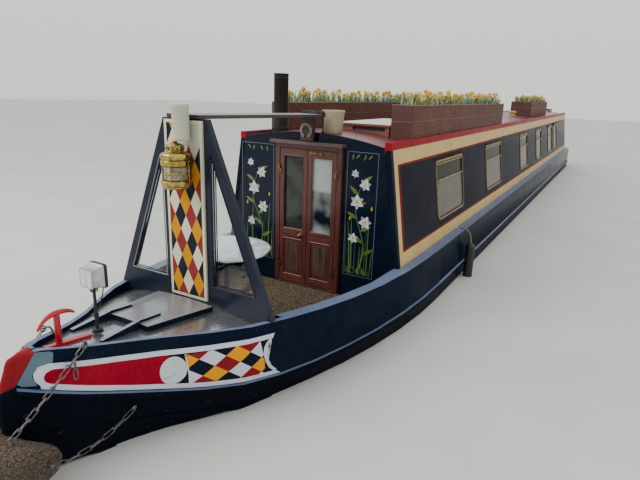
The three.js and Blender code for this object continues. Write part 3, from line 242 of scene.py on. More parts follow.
NAVY = gloss("alkyd_gloss_navy", "#101725", "#171f2d", 0.14, 0.5, level=0.02)
CHARCOAL = gloss("alkyd_gloss_charcoal", "#24252d", "#2c2d34", 0.12, 0.35, 0.4 * MM, 0.004)
BULKHEAD = gloss("alkyd_gloss_bulkhead", "#0b1424", "#101a2c", 0.16, 0.2, level=0.2)
# The deck's grey base is lighter than its black paint, partly a painted sky reflection.
DECK = gloss("deck_paint_black_lightened_with_painted_reflection", "#434449", "#505156", 0.2, 0.8, 1.2 * MM, 1.0, IOR=2.6)
# The gunwale's blue-grey is a painted sky reflection on the hull's dark top faces.
GUNWALE = gloss("gunwale_paint_with_painted_sky_reflection", "#5c6884", "#6b7792", 0.35, 0.6, level=0.1)
CREAM = gloss("alkyd_gloss_cream", "#bfa369", "#c9af78", 0.3, 0.3, level=0.03)
CRIMSON = gloss("alkyd_gloss_crimson", "#880a20", "#930f25", 0.2, 0.35, level=0.05)
SIGNAL = gloss("enamel_signal_red", "#7e101a", "#891720", 0.28, 0.3, level=0.12)
RAIL_RED = gloss("alkyd_gloss_rail_red", "#83161f", "#93212b", 0.25, 0.3, level=0.02)
LINE_RED = gloss("enamel_line_red", "#701b1b", "#7b2321", 0.3, 0.1, level=0.01)
WHITE = gloss("enamel_white", "#c9ccd8", "#bcc0cc", 0.25, 0.3)
BAND_BLUE = gloss("alkyd_band_blue_grey", "#4f6975", "#5c7682", 0.3, 0.5, level=0.2)
print("gloss paints:", len([m for m in bpy.data.materials if m.name.startswith(("alkyd", "enamel"))]))

# %% [markdown]
# ## Making pieces
# A new piece is a bmesh: it starts from a cube or a few vertices, and operators extrude, spin and
# cut it. It becomes an object at the origin, with its place in its mesh. It rides on a body of the
# frame, and it may stand for one of the frame's pieces, which then isn't shown.

# %% From bmesh to a finished piece
SMOOTH = 32
SIDES = {1: "port", -1: "starboard"}


def piece(name, bm, finishes, stands_for=None, width=0.0, smooth=SMOOTH, tidy=True, body="hull"):
    """A finished piece from a bmesh, with softened edges; tidy merges doubles and turns faces out."""
    if tidy:
        bmesh.ops.remove_doubles(bm, verts=bm.verts, dist=1e-5)
        bmesh.ops.recalc_face_normals(bm, faces=bm.faces)
    mesh = bpy.data.meshes.new(name)
    bm.to_mesh(mesh)
    bm.free()
    made = bpy.data.objects.new(name, mesh)
    bpy.context.scene.collection.objects.link(made)
    for finish in finishes if isinstance(finishes, list) else [finishes]:
        mesh.materials.append(finish)
    mesh.shade_smooth()
    mesh.set_sharp_from_angle(angle=radians(smooth))
    if width:
        edges = made.modifiers.new("edges", "BEVEL")
        edges.width = width
        edges.segments = 2
        edges.limit_method = "ANGLE"
        edges.angle_limit = radians(smooth)
        edges.harden_normals = True
    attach(made, body)
    if stands_for:
        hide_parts(stands_for)
    return made


def copy_of(node):
    """A node's shape as a bmesh: its loose triangles merged, and flat faces made whole again."""
    bm = bmesh.new()
    bm.from_mesh(NODES[node].data)
    bmesh.ops.remove_doubles(bm, verts=bm.verts, dist=2e-5)
    flat = radians(0.6)
    bmesh.ops.dissolve_limit(bm, angle_limit=flat, verts=bm.verts, edges=bm.edges)
    return bm


def dressed(node, finishes, width=2 * MM, choose=None, smooth=SMOOTH, shape=None):
    """A node's own shape with softened edges; choose(face) gives the number of its finish."""
    bm = copy_of(node)
    if shape:
        shape(bm)
    if choose:
        for face in bm.faces:
            face.material_index = choose(face)
    body = NODES[node]["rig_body"]
    return piece(node + "_dressed", bm, finishes, node, width, smooth, tidy=False, body=body)


# %% Solids from operators
def along(low, high, count):
    """Evenly spaced values between two ends."""
    return [low + (high - low) * i / count for i in range(count + 1)]


def block(bm, low, high, finish=0):
    """A box between two corners."""
    low, high = Vector(low), Vector(high)
    size = Matrix.Diagonal((*(high - low), 1))
    made = bmesh.ops.create_cube(bm, size=1, matrix=Matrix.Translation((low + high) / 2) @ size)
    recolour(made["verts"], finish)


def recolour(verts, finish):
    """Gives the faces round some vertices a finish."""
    for face in {face for vert in verts for face in vert.link_faces}:
        face.material_index = finish


def turned(bm, profile, centre, axis=(0, 0, 1), steps=32, finish=0):
    """Spins a profile of (radius, height) about an axis through a centre."""
    start = set(bm.faces)
    axis = Vector(axis).normalized()
    frame_of = axis.to_track_quat("Z", "Y").to_matrix().to_4x4()
    frame_of = Matrix.Translation(centre) @ frame_of
    verts = [bm.verts.new(frame_of @ Vector((radius, 0, height))) for radius, height in profile]
    edges = [bm.edges.new(pair) for pair in zip(verts, verts[1:])]
    turn = {"cent": centre, "axis": axis, "angle": tau, "steps": steps, "use_merge": True}
    bmesh.ops.spin(bm, geom=verts + edges, **turn)
    bmesh.ops.remove_doubles(bm, verts=bm.verts, dist=1e-6)
    for face in set(bm.faces) - start:
        face.material_index = finish


def round_bar(bm, points, radius, sides=8, closed=False, radii=None, finish=0, curved=True):
    """A round bar along a path: a curve with a bevel, made a mesh."""
    curve = bpy.data.curves.new("path", "CURVE")
    curve.dimensions = "3D"
    curve.bevel_depth = radius
    curve.bevel_resolution = max(0, sides // 4 - 1)
    curve.use_fill_caps = not closed
    curve.resolution_u = 6 if curved else 1
    kind = "NURBS" if curved else "POLY"
    spline = curve.splines.new(kind)
    spline.points.add(len(points) - 1)
    for i, (point, place) in enumerate(zip(spline.points, points)):
        point.co = (*place, 1)
        point.radius = radii[i] if radii else 1.0
    spline.use_cyclic_u = closed
    if curved:
        spline.order_u = 3
        spline.use_endpoint_u = not closed
    holder = bpy.data.objects.new("path", curve)
    mesh = bpy.data.meshes.new_from_object(holder)
    start = set(bm.faces)
    bm.from_mesh(mesh)
    for face in set(bm.faces) - start:
        face.material_index = finish
    bpy.data.objects.remove(holder)
    bpy.data.curves.remove(curve)
    bpy.data.meshes.remove(mesh)


def flat_sheet(bm, outline, finish=0):
    """A face from an outline of points."""
    face = bm.faces.new([bm.verts.new(point) for point in outline])
    face.material_index = finish
    return face


def pulled(bm, faces, by):
    """Makes faces a solid: they are extruded by a vector."""
    made = bmesh.ops.extrude_face_region(bm, geom=faces)["geom"]
    lifted = [item for item in made if isinstance(item, bmesh.types.BMVert)]
    bmesh.ops.translate(bm, verts=lifted, vec=by)
    return lifted


def closed_loop(bm, points):
    """A closed line of new edges through some points."""
    verts = [bm.verts.new(point) for point in points]
    return [bm.edges.new(pair) for pair in zip(verts, verts[1:] + verts[:1])]


def skinned(bm, rings):
    """A skin over a row of closed loops, and a face in the first and in the last."""
    for a, b in zip(rings, rings[1:]):
        bmesh.ops.bridge_loops(bm, edges=a + b)
    return [bmesh.ops.edgeloop_fill(bm, edges=rim)["faces"] for rim in (rings[0], rings[-1])]


def cut_by(bm, place, normal, faces=None):
    """Cuts faces by a plane, leaving both sides."""
    faces = list(faces) if faces is not None else list(bm.faces)
    edges = {edge for face in faces for edge in face.edges}
    verts = {vert for face in faces for vert in face.verts}
    geom = faces + list(edges) + list(verts)
    bmesh.ops.bisect_plane(bm, geom=geom, plane_co=place, plane_no=normal, dist=1e-6)


def cut_at(bm, axis, value, faces=None):
    """Cuts faces where one of their coordinates has a value."""
    normal = Vector()
    normal["xyz".index(axis)] = 1
    cut_by(bm, normal * value, normal, faces)

# %% [markdown]
# ## Hull paint
# Below the rubbing strake a narrowboat wears scuffed bitumen blacking, and above it gloss. The
# strake climbs towards the stem, so the finish compares each point's height with its curve.

# %% The strake's curve, and the hull's finish
STRAKE = {"low": 0.78, "starts": 1.2, "rise": 0.37, "run": 1.6, "power": 2.0}
GUNWALE_LOW, SHEER_RUN = 1.15, 2.82


def strake_top(x):
    """The height of the rubbing strake's top edge at a station."""
    part = max(0.0, x - STRAKE["starts"]) / STRAKE["run"]
    return STRAKE["low"] + STRAKE["rise"] * part ** STRAKE["power"]


def gunwale_top(x):
    """The height of the gunwale at a station."""
    part = max(0.0, x) / SHEER_RUN
    return GUNWALE_LOW + 0.139 * part ** 2 + 0.066 * part ** 8


def over_blacking(made):
    """Keeps a gloss above the strake, and puts scuffed blacking under it."""
    axes = add(made.tree, "SeparateXYZ", {"Vector": made.place})
    part = made.share(axes.outputs["X"], STRAKE["starts"], STRAKE["starts"] + STRAKE["run"])
    bend = made.maths("POWER", part, STRAKE["power"])
    edge = made.spread(bend, STRAKE["low"] - 0.012, STRAKE["low"] + STRAKE["rise"] - 0.012)
    above = made.maths("GREATER_THAN", axes.outputs["Z"], edge)
    scrape = made.patches(24 * MM, 0.66, 0.74, 4.0, made.stretched((0.12, 1.0, 1.0)))
    made.tint(above, made.blend(scrape, "#0e121a", "#2a2d33"), made.fed_by("Base Color"))
    values = {"Factor": above, "A": 0.34, "B": made.fed_by("Roughness")}
    made.feed("Roughness", add(made.tree, "Mix", values, data_type="FLOAT").outputs[0])


HULL_PAINT = gloss("hull_gloss_over_blacking", "#0d1626", "#141d2c", 0.13, level=0.01, more=over_blacking)

# %% [markdown]
# ## The fore end
# The shell of the bow is the frame's own shape, with a red head to the stem and top edges painted blue-grey
# as a sky reflection.
# Cutting the mesh by the planes where colours meet gives clean paint lines, because every face then
# has one colour.

# %% The shell of the bow
HEAD_POINT, HEAD_SLOPE = Vector((2.7191, 0, 1.3211)), Vector((0.1454, 0, 0.0992)).normalized()
HEAD_LOW, HEAD_CELL, HEAD_ROUNDS = 1.161, 0.014, 16


def cut_head(bm):
    """Cuts the bow where its red head meets the band behind it and the black below it."""
    for place, normal in ((HEAD_POINT, HEAD_SLOPE), (Vector((0, 0, HEAD_LOW)), Vector((0, 0, 1)))):
        near = [face for face in bm.faces if max(vert.co.x for vert in face.verts) > 2.5]
        cut_by(bm, place, normal, near)
    round_head(bm)


def round_head(bm):
    """Cuts the red head into small cells and smooths their corners, so that its ridges are round."""
    def red():
        return [face for face in bm.faces if bow_finish(face) == 2]
    for axis in range(3):
        ends = [vert.co[axis] for face in red() for vert in face.verts]
        for value in along(min(ends), max(ends), int((max(ends) - min(ends)) / HEAD_CELL))[1:-1]:
            cut_at(bm, "xyz"[axis], value, red())
    corners = {vert for face in red() for vert in face.verts}
    inner = [vert for vert in corners if all(bow_finish(face) == 2 for face in vert.link_faces)]
    for _ in range(HEAD_ROUNDS):
        bmesh.ops.smooth_vert(bm, verts=inner, factor=0.5, use_axis_x=True, use_axis_y=True, use_axis_z=True)


def bow_finish(face):
    """0 for the hull's paint, 1 for a top edge painted blue-grey as a sky reflection, 2 for the red head."""
    centre = face.calc_center_median()
    if (centre - HEAD_POINT).dot(HEAD_SLOPE) > 0 and centre.z > HEAD_LOW:
        return 2
    on_gunwale = face.normal.z > 0.7 and centre.z > GUNWALE_LOW - 0.02
    on_strake = face.normal.z > 0.3 and abs(centre.z - strake_top(centre.x)) < 0.03
    return 1 if on_gunwale or on_strake else 0


dressed("fore_end", [HULL_PAINT, GUNWALE, SIGNAL], 2.5 * MM, bow_finish, shape=cut_head)


def side_finish(face):
    """0 for the hull's paint, 1 for the gunwale's top and the strake's upper edge, painted blue-grey as a sky
    reflection.
    """
    centre = face.calc_center_median()
    return 1 if face.normal.z > 0.15 and (centre.z > 1.14 or 0.76 < centre.z < 0.81) else 0


for node in ("hull_side_port", "hull_side_starboard", "stern"):
    dressed(node, [HULL_PAINT, GUNWALE], 3 * MM, side_finish)
dressed("base_plate", HULL_PAINT, 2 * MM)

# %% [markdown]
# ## The bow's painted figures
# Boat painters lay out a bow in flat figures: white lines, a red panel, a disc, a field of diamonds
# and a crescent. Each is a film of paint: an outline in the side view, cut into small cells, laid on
# the hull by casting a ray from abeam at each corner, and made a few coats thick.

# %% Laying paint on the hull
FILM, CELL = 0.7 * MM, 24 * MM


def skin_of(*names):
    """A search tree of nodes' surfaces, to cast rays at."""
    bm = bmesh.new()
    for name in names:
        bm.from_mesh(NODES[name].data)
    tree = BVHTree.FromBMesh(bm)
    bm.free()
    return tree


BOW_SKIN = skin_of("fore_end")


def cut_cells(bm):
    """Cuts a flat figure into cells, so that it can follow a curved plate."""
    for axis in (0, 2):
        ends = [vert.co[axis] for vert in bm.verts]
        steps = 1 + int((max(ends) - min(ends)) / CELL)
        for value in along(min(ends), max(ends), steps)[1:-1]:
            cut_at(bm, "xyz"[axis], value)


def on_bow(figure, side, layer):
    """Lays a figure's (x, z) points on the bow, a few films of paint proud."""
    for vert in figure.verts:
        start = Vector((vert.co.x, 2.0 * side, vert.co.z))
        place, normal, _, _ = BOW_SKIN.ray_cast(start, Vector((0, -side, 0)))
        vert.co = place + normal * (0.35 * MM + FILM * layer)


def paint(target, outline, side, finish, layer=0, cuts=(), choose=None):
    """Adds one painted figure to a bmesh; cuts are (point, direction) lines across it."""
    figure = bmesh.new()
    flat_sheet(figure, [(x, 0, z) for x, z in outline], finish)
    bmesh.ops.triangulate(figure, faces=figure.faces)
    for (x, z), (ahead, up) in cuts:
        cut_by(figure, Vector((x, 0, z)), Vector((up, 0, -ahead)))
    if choose:
        for face in figure.faces:
            face.material_index = choose(face.calc_center_median())
    cut_cells(figure)
    on_bow(figure, side, layer)
    bmesh.ops.remove_doubles(figure, verts=figure.verts, dist=1e-6)
    thicken_out(figure, side)
    scratch = bpy.data.meshes.new("figure")
    figure.to_mesh(scratch)
    figure.free()
    target.from_mesh(scratch)
    bpy.data.meshes.remove(scratch)


def thicken_out(figure, side):
    """Closes a sheet into a film: its back stays on the plate and its face stands out."""
    made = bmesh.ops.duplicate(figure, geom=[*figure.faces, *figure.edges, *figure.verts])
    front = [item for item in made["geom"] if isinstance(item, bmesh.types.BMFace)]
    for vert in {vert for face in front for vert in face.verts}:
        vert.co.y += side * FILM
    rims = [edge for edge in figure.edges if edge.is_boundary]
    bmesh.ops.bridge_loops(figure, edges=rims)
    bmesh.ops.recalc_face_normals(figure, faces=figure.faces)


# %% The figures, in the side view
LINE_DROP, BAND_RISE = (0.074, 0.105), (0.003, 0.036)
RED_AFT, LINE_FORE, GAP = 2.144, 2.661, 0.001
NOSE = [(2.693, 1.249), (2.72, 1.2422), (2.737, 1.231), (2.747, 1.2127), (2.75, 1.1929), (2.7465, 1.1672),
        (2.734, 1.146)]
RED_NOSE = [(2.661, 1.209), (2.6792, 1.207), (2.697, 1.2), (2.708, 1.186), (2.711, 1.169), (2.7044, 1.1504)]
DISC = (2.1245, 1.0277, 0.0645, 0.091)
FIELD = [(2.0633, 1.1169), (2.0379, 0.9177), (1.583, 0.8319), (1.6536, 1.0959)]
FORE_LINE = [FIELD[0], FIELD[1], (FIELD[1][0] + 0.008, FIELD[1][1]), (FIELD[0][0] + 0.006, FIELD[0][1])]
LATTICE = {"at": (1.859, 1.0557), "up": (-0.0611, 0.051), "down": (-0.0807, -0.066)}
DIAMONDS = ((4, 2), (5, 3))
CRESCENT = [(1.5425, 1.1211), (1.572, 1.09), (1.589, 1.054), (1.595, 1.006), (1.583, 0.942), (1.548, 0.88),
            (1.5014, 0.8332), (1.5151, 0.8235), (1.5654, 0.8702), (1.6028, 0.931), (1.6249, 0.9947),
            (1.6227, 1.0398), (1.609, 1.0724), (1.5785, 1.0944)]
BAND = [(2.7222, 1.3165), (2.817, 1.1757), (2.8, 1.158), (2.742, 1.143), (2.755, 1.2), (2.7246, 1.24),
        (2.661, 1.248), (2.651, 1.296), (2.665, 1.306)]


def under_gunwale(drop, start, end, count=14):
    """A run of points at a drop below the gunwale."""
    return [(x, gunwale_top(x) - drop) for x in along(start, end, count)]


def over_strake(rise, start, end, count=14):
    """A run of points at a rise above the strake."""
    return [(x, strake_top(x) + rise) for x in along(start, end, count)]


def half_round(cx, cz, rx, rz, start, turn, count=12):
    """Points round an ellipse, from a start angle through a turn, in degrees."""
    angles = [radians(angle) for angle in along(start, start + turn, count)]
    return [(cx + rx * cos(a), cz + rz * sin(a)) for a in angles]


def diamond(centre):
    """Which of the four diamond colours a point of the field has: its row and column decide."""
    (x, z), (ux, uz), (dx, dz) = LATTICE["at"], LATTICE["up"], LATTICE["down"]
    px, pz = centre.x - x, centre.z - z
    spread = ux * dz - uz * dx
    i = math.floor((px * dz - pz * dx) / spread)
    j = math.floor((ux * pz - uz * px) / spread)
    return DIAMONDS[i % 2][j % 2]


def lattice_cuts():
    """The two families of lines between the diamonds."""
    (x, z), up, down = LATTICE["at"], LATTICE["up"], LATTICE["down"]
    rows = [((x + up[0] * i, z + up[1] * i), down) for i in range(-5, 7)]
    columns = [((x + down[0] * j, z + down[1] * j), up) for j in range(-5, 7)]
    return rows + columns


def paint_bow(side):
    """All the figures on one side of the bow."""
    bm = bmesh.new()
    white, red, navy, disc_white, blue = 0, 1, 2, 6, 7
    under, over = LINE_DROP[1] + GAP, BAND_RISE[1] + GAP
    tip = [(2.6, 1.23)] + under_gunwale(LINE_DROP[0], 2.62, LINE_FORE, 1) + NOSE
    paint(bm, tip + [(2.7, 1.112), (2.6, 1.09)], side, white)
    top = under_gunwale(LINE_DROP[0], 1.548, LINE_FORE)
    paint(bm, top + under_gunwale(LINE_DROP[1], LINE_FORE, 1.561), side, white)
    foot = over_strake(BAND_RISE[0], 2.728, 1.462, 20)
    paint(bm, foot + over_strake(BAND_RISE[1], 1.512, 2.728, 20), side, white, 1)
    edge = under_gunwale(under, RED_AFT, 2.64, 12) + RED_NOSE
    paint(bm, edge + over_strake(over, 2.69, RED_AFT - 0.006, 12), side, red, 1)
    behind = under_gunwale(under, RED_AFT, 2.05, 3)
    paint(bm, behind + over_strake(over, 2.03, RED_AFT, 3), side, navy)
    paint(bm, half_round(*DISC, 0, 360 * 31 / 32, 31), side, disc_white, 2)
    paint(bm, FORE_LINE, side, white, 1)
    paint(bm, FIELD, side, navy, 1, lattice_cuts(), diamond)
    paint(bm, CRESCENT, side, white, 2)
    paint(bm, BAND, side, blue, 2)
    finishes = [WHITE, CRIMSON, NAVY, WHITE, AMBER, DUSTY_RED, DISC_WHITE, BAND_BLUE]
    return piece("bow_figures_" + SIDES[side], bm, finishes, smooth=60, tidy=False)


def smeared(made):
    """A faint green-blue smear across old white enamel."""
    faint = made.maths("MULTIPLY", made.patches(55 * MM, 0.56, 0.7, 2.0), 0.5)
    made.tint(faint, made.fed_by("Base Color"), "#86a9a6")


AMBER = gloss("enamel_amber_yellow", "#e29404", "#e99c0c", 0.22, 0.25, level=0.03)
DUSTY_RED = gloss("enamel_dusty_red", "#7f1a22", "#89252b", 0.22, 0.25, level=0.03)
DISC_WHITE = gloss("enamel_disc_white", "#c3cdcc", "#b7c6c8", 0.3, 0.3, more=smeared)
for side in SIDES:
    print(paint_bow(side).name, "laid on the hull")

# %% [markdown]
# ## Cabin sides
# The steel sides lean in towards the roof. They have a cream border, a thin red line and a large
# dark panel that holds the windows, so the side is cut along the edges of those three.

# %% The side panels
PANEL = {"fore": -0.13, "aft": -13.77, "low": 1.267, "high": 2.035}
RED_ACROSS, RED_ALONG = 0.045, 0.02
CORNER = -0.05
WALL_FOOT, WALL_HEAD = (0.928, 1.15), (0.782, 2.161)


def wall_y(z):
    """How far out the cabin side lies at a height."""
    part = (z - WALL_FOOT[1]) / (WALL_HEAD[1] - WALL_FOOT[1])
    return WALL_FOOT[0] + (WALL_HEAD[0] - WALL_FOOT[0]) * part


def cut_panel(bm):
    """Cuts a cabin side along both edges of the red line, and where the front's navy ends."""
    for x in (CORNER, PANEL["fore"], PANEL["aft"], PANEL["fore"] - RED_ACROSS, PANEL["aft"] + RED_ACROSS):
        cut_at(bm, "x", x)
    for z in (PANEL["low"], PANEL["high"], PANEL["low"] + RED_ALONG, PANEL["high"] - RED_ALONG):
        cut_at(bm, "z", z)


def panel_finish(face):
    """0 for the cream border, 1 for the red line, 2 for the dark panel, 3 for the front corner."""
    centre = face.calc_center_median()
    if centre.x > CORNER:
        return 3
    across = min(PANEL["fore"] - centre.x, centre.x - PANEL["aft"])
    up = min(centre.z - PANEL["low"], PANEL["high"] - centre.z)
    if abs(centre.y) < wall_y(centre.z) - 0.012 or min(across, up) < 0:
        return 0
    return 1 if across < RED_ACROSS or up < RED_ALONG else 2


for side in SIDES.values():
    finishes = [CREAM, LINE_RED, CHARCOAL, NAVY]
    dressed("cabin_side_" + side, finishes, 0.0, panel_finish, shape=cut_panel)

# %% [markdown]
# ## Windows
# Each window is a gold-anodised frame with a hopper above, which tips in, and a fixed pane below.
# The glass is tinted and the cabin behind it dark, with a pale blind across the lower half, so the
# pane is dark and glossy, its dark both the tint and painted shade of the unlit cabin, with a soft
# pattern of what lies behind.

# %% Window finishes
def metal(name, code, worn, roughness, grain=30 * MM, depth=0.2 * MM):
    """A metal that has dulled in patches, with fine wear."""
    made = Finish(name, Metallic=1.0)
    dull = made.patches(grain, 0.38, 0.72, 4.0)
    made.tint(dull, code, worn)
    made.rough(dull, roughness, roughness + 0.2)
    made.relief(made.noise(2 * MM, 2.0), depth)
    return made.made


ANODISED_GOLD = metal("anodised_gold_frame", "#a08450", "#7d6a42", 0.36)
POLISHED_BRASS = metal("polished_brass", "#bfa75c", "#83703a", 0.1, 30 * MM, 0.05 * MM)
AGED_BRASS = metal("aged_brass", "#8f7440", "#5f4f30", 0.35)
BRONZE = metal("cast_bronze", "#7d6238", "#54452c", 0.35)
GALVANISED = metal("galvanised_steel", "#9a9a92", "#6f6a60", 0.42, 14 * MM)
STAINLESS = metal("satin_steel", "#c9cdd0", "#a9adb0", 0.25, 60 * MM, 0.05 * MM)
RUSTY = metal("weathered_galvanised_chain", "#84827f", "#4c4542", 0.5, 18 * MM)


def tinted_glass(name, dark, net, split, blur=120 * MM, level=0.3, slats=0.0):
    """Tinted glass whose dark colour is also painted shade of the unlit cabin; below the split height a pale
    blind hangs behind it.
    """
    made = Finish(name, Roughness=0.04, IOR=1.5, Specular_IOR_Level=level)
    height = add(made.tree, "SeparateXYZ", {"Vector": made.place}).outputs["Z"]
    part = made.share(height, split + 0.015, split - 0.015)
    shapes = made.patches(blur, 0.25, 0.6, 2.0)
    if slats:
        rows = made.spread(made.wave(pi / (10 * slats), "Z"), 0.6, 1.0)
        shapes = made.maths("MULTIPLY", made.spread(shapes, 0.7, 1.0), rows)
    made.tint(made.maths("MULTIPLY", shapes, part), dark, net)
    made.relief(made.noise(300 * MM, 0.0), 0.6 * MM)
    return made.made


# The panes' dark colour is the tint and painted shade of the unlit cabin behind.
WINDOW_GLASS = tinted_glass("tinted_window_glass_with_painted_cabin_shade", "#2e3127", "#77736a", 1.754, level=0.03, slats=0.022)
RUBBER = gloss("black_rubber_seal", "#111214", "#1a1b1d", 0.5, 0.2)

# %% Windows, one loop for both sides
WINDOWS = [(-1.64, 0.98), (-3.85, 1.000), (-6.43, 0.8), (-8.33, 0.72), (-10.24, 0.72),
           (-11.3, 0.62)]
SCREW = {"radius1": 0.0042, "radius2": 0.003, "depth": 0.003}
WINDOW_HIGH, WINDOW_AT = 0.59, 1.66
LEAN = math.atan2(WALL_FOOT[0] - WALL_HEAD[0], WALL_HEAD[1] - WALL_FOOT[1])


def wall_frame(side, x):
    """A matrix whose x runs along the boat, y up the wall and z out of it."""
    right = Vector((-side, 0, 0))
    up = Vector((0, -side * sin(LEAN), cos(LEAN)))
    out = Vector((0, side * cos(LEAN), sin(LEAN)))
    axes = Matrix((right, up, out)).transposed().to_4x4()
    return Matrix.Translation((x, side * wall_y(WINDOW_AT), WINDOW_AT)) @ axes


def rounded(width, height, upper, lower, count=5):
    """An outline with round corners, centred on the origin."""
    w, h = width / 2, height / 2
    rows = [(w - upper, h - upper, upper, 0), (upper - w, h - upper, upper, 90),
            (lower - w, lower - h, lower, 180), (w - lower, lower - h, lower, 270)]
    return [point for cx, cy, r, start in rows for point in half_round(cx, cy, r, r, start, 90, count)]


def ring(bm, outline, inner, low, high, finish=0):
    """A flat ring between two outlines of as many points, from one height to another."""
    loops = [[bm.verts.new((x, y, z)) for x, y in shape]
             for shape, z in ((outline, low), (outline, high), (inner, high), (inner, low))]
    count = len(outline)
    for a, b in zip(loops, loops[1:] + loops[:1]):
        for i in range(count):
            face = bm.faces.new((a[i], a[(i + 1) % count], b[(i + 1) % count], b[i]))
            face.material_index = finish


def make_window(side, number, x, width):
    """Frame, seal, hopper rail with its catches, drip rail, screws and glass."""
    bm = bmesh.new()
    def round_frame(more, upper, lower):
        return rounded(width + more, WINDOW_HIGH + more, upper, lower)
    inner = round_frame(-0.01, 0.028, 0.066)
    ring(bm, round_frame(0.036, 0.045, 0.088), inner, 0.0005, 0.008)
    ring(bm, round_frame(0.002, 0.03, 0.068), inner, 0.008, 0.011)
    ring(bm, inner, round_frame(-0.022, 0.022, 0.06), -0.006, 0.004, 1)
    half, split, top = width / 2 - 0.008, WINDOW_HIGH * 0.16, WINDOW_HIGH / 2
    block(bm, (-half, split - 0.002, -0.006), (half, split + 0.017, 0.009))
    block(bm, (-half, split + 0.017, -0.006), (half, split + 0.023, 0.002), 1)
    block(bm, (-half + 0.02, top - 0.03, -0.006), (half - 0.02, top - 0.016, 0.007))
    for end in (-1, 1):
        catch = end * (half - 0.05)
        block(bm, (catch - 0.014, split + 0.003, 0.009), (catch + 0.014, split + 0.014, 0.016))
    for place in screw_places(width + 0.018, WINDOW_HIGH + 0.018):
        screw = bmesh.ops.create_cone(bm, cap_ends=True, segments=8, **SCREW)["verts"]
        bmesh.ops.translate(bm, verts=screw, vec=(*place, 0.0105))
    pane = bmesh.ops.create_grid(bm, x_segments=2, y_segments=2, size=0.5)["verts"]
    bmesh.ops.scale(bm, verts=pane, vec=(width - 0.014, WINDOW_HIGH - 0.014, 1))
    bmesh.ops.translate(bm, verts=pane, vec=(0, 0, -0.005))
    recolour(pane, 2)
    bmesh.ops.transform(bm, matrix=wall_frame(side, x), verts=bm.verts)
    name = "window_{}_{}".format(SIDES[side], number)
    piece(name + "_glazed", bm, [ANODISED_GOLD, RUBBER, WINDOW_GLASS], name, 0.0008)


def screw_places(width, height, pitch=0.13):
    """Evenly spaced places along the straight sides of a frame."""
    w, h = width / 2, height / 2
    across = along(-w + 0.09, w - 0.09, max(1, round((width - 0.18) / pitch)))
    up = along(-h + 0.1, h - 0.08, max(1, round((height - 0.18) / pitch)))
    return [(x, y) for x in across for y in (-h, h)] + [(x, y) for x in (-w, w) for y in up]


for side in SIDES:
    for number, (x, width) in enumerate(WINDOWS, 1):
        make_window(side, number, x, width)

# %% [markdown]
# ## Roof
# The roof wears non-slip paint, gloss with sand in it, which fades to a dusty red. Its edge rails,
# which are also handrails, are brighter. The grit is a little coarser than real, so that it shows.

# %% The roof's finish and shape
RAIL_IN = 0.727
GRIT = 4 * MM


def roof_finish():
    """Faded red deck paint with sand in it."""
    made = Finish("sanded_deck_paint_red")
    fade = made.patches(420 * MM, 0.3, 0.75)
    paint = made.blend(fade, "#642a30", "#7a4246")
    made.tint(made.patches(90 * MM, 0.55, 0.8, 5.0), paint, "#552b2c")
    made.rough(fade, 0.22, 0.38)
    made.relief(made.noise(GRIT, 2.0), 0.5 * MM)
    return made.made


ROOF_RED = roof_finish()


def cut_rails(bm):
    """Cuts the roof where its rails' paint begins."""
    for y in (-RAIL_IN, RAIL_IN):
        cut_at(bm, "y", y)


def roof_finish_of(face):
    """0 for the roof, 1 for its rails, 2 for the edge over the cabin's front."""
    if abs(face.calc_center_median().y) > RAIL_IN and face.calc_center_median().z > 2.162:
        return 1
    return 2 if face.normal.x > 0.9 and face.calc_center_median().x > -0.1 else 0


dressed("cabin_roof", [ROOF_RED, RAIL_RED, BULKHEAD], 3 * MM, roof_finish_of, shape=cut_rails)
dressed("sliding_hatch", [NAVY], 3 * MM)

# %% [markdown]
# ## The cratch
# The cratch is a glazed A-frame of painted hardwood over the front of the well, with a plank from
# its top to the roof. Thin beads hold its panes, which are clear, transmitting glass.

# %% Timber and glass
def timber(name, code, dark, axis, roughness=0.3, grain=7 * MM, coat=0.0, wear="#8a6a50", **sockets):
    """Oiled or varnished wood: long streaks along one axis, rings, and a coat if varnished."""
    made = Finish(name, Coat_Weight=coat, Coat_Roughness=0.08, **sockets)
    stretch = [1.0, 1.0, 1.0]
    stretch["XYZ".index(axis)] = 0.06
    streak = made.noise(grain, 5.0, made.stretched(stretch), 0.6)
    tone = made.blend(made.share(streak, 0.32, 0.68), dark, code)
    made.tint(made.maths("MULTIPLY", made.patches(180 * MM, 0.5, 0.85), 0.4), tone, wear)
    made.rough(streak, roughness, roughness + 0.18)
    made.relief(streak, 0.5 * MM)
    return made.made


DOOR_WOOD = timber("varnished_hardwood_doors", "#62302a", "#3a1a16", "Z", 0.3, 9 * MM, 0.15, "#6d3a2e")
RAIL_WOOD = timber("varnished_hardwood_rails", "#68342a", "#3f1d17", "Y", 0.3, 9 * MM, 0.15, "#6f3d30")
PLANK_WOOD = timber("weathered_plank", "#42312b", "#251b19", "X", 0.35, wear="#57463e")
BLOCK_WOOD = timber("oiled_hardwood_block", "#43261f", "#2a1714", "Y", 0.4, wear="#54352b")


def clear_glass():
    """Clear sheet glass with a little dust."""
    made = Finish("clear_sheet_glass", Transmission_Weight=1.0, IOR=1.45)
    dust = made.patches(60 * MM, 0.4, 0.9)
    made.rough(dust, 0.0, 0.05)
    made.tint(dust, "#f4fbf8", "#e4ebe8")
    return made.made


CLEAR_GLASS = clear_glass()
PANE_BEAD = gloss("enamel_pane_bead_grey", "#777b80", "#888b8e", 0.3, 0.2, level=0.2)
FRAME_PAINT = gloss("timber_gloss_navy", "#151b29", "#1f2738", 0.25, 0.3, 0.3 * MM, 0.2)

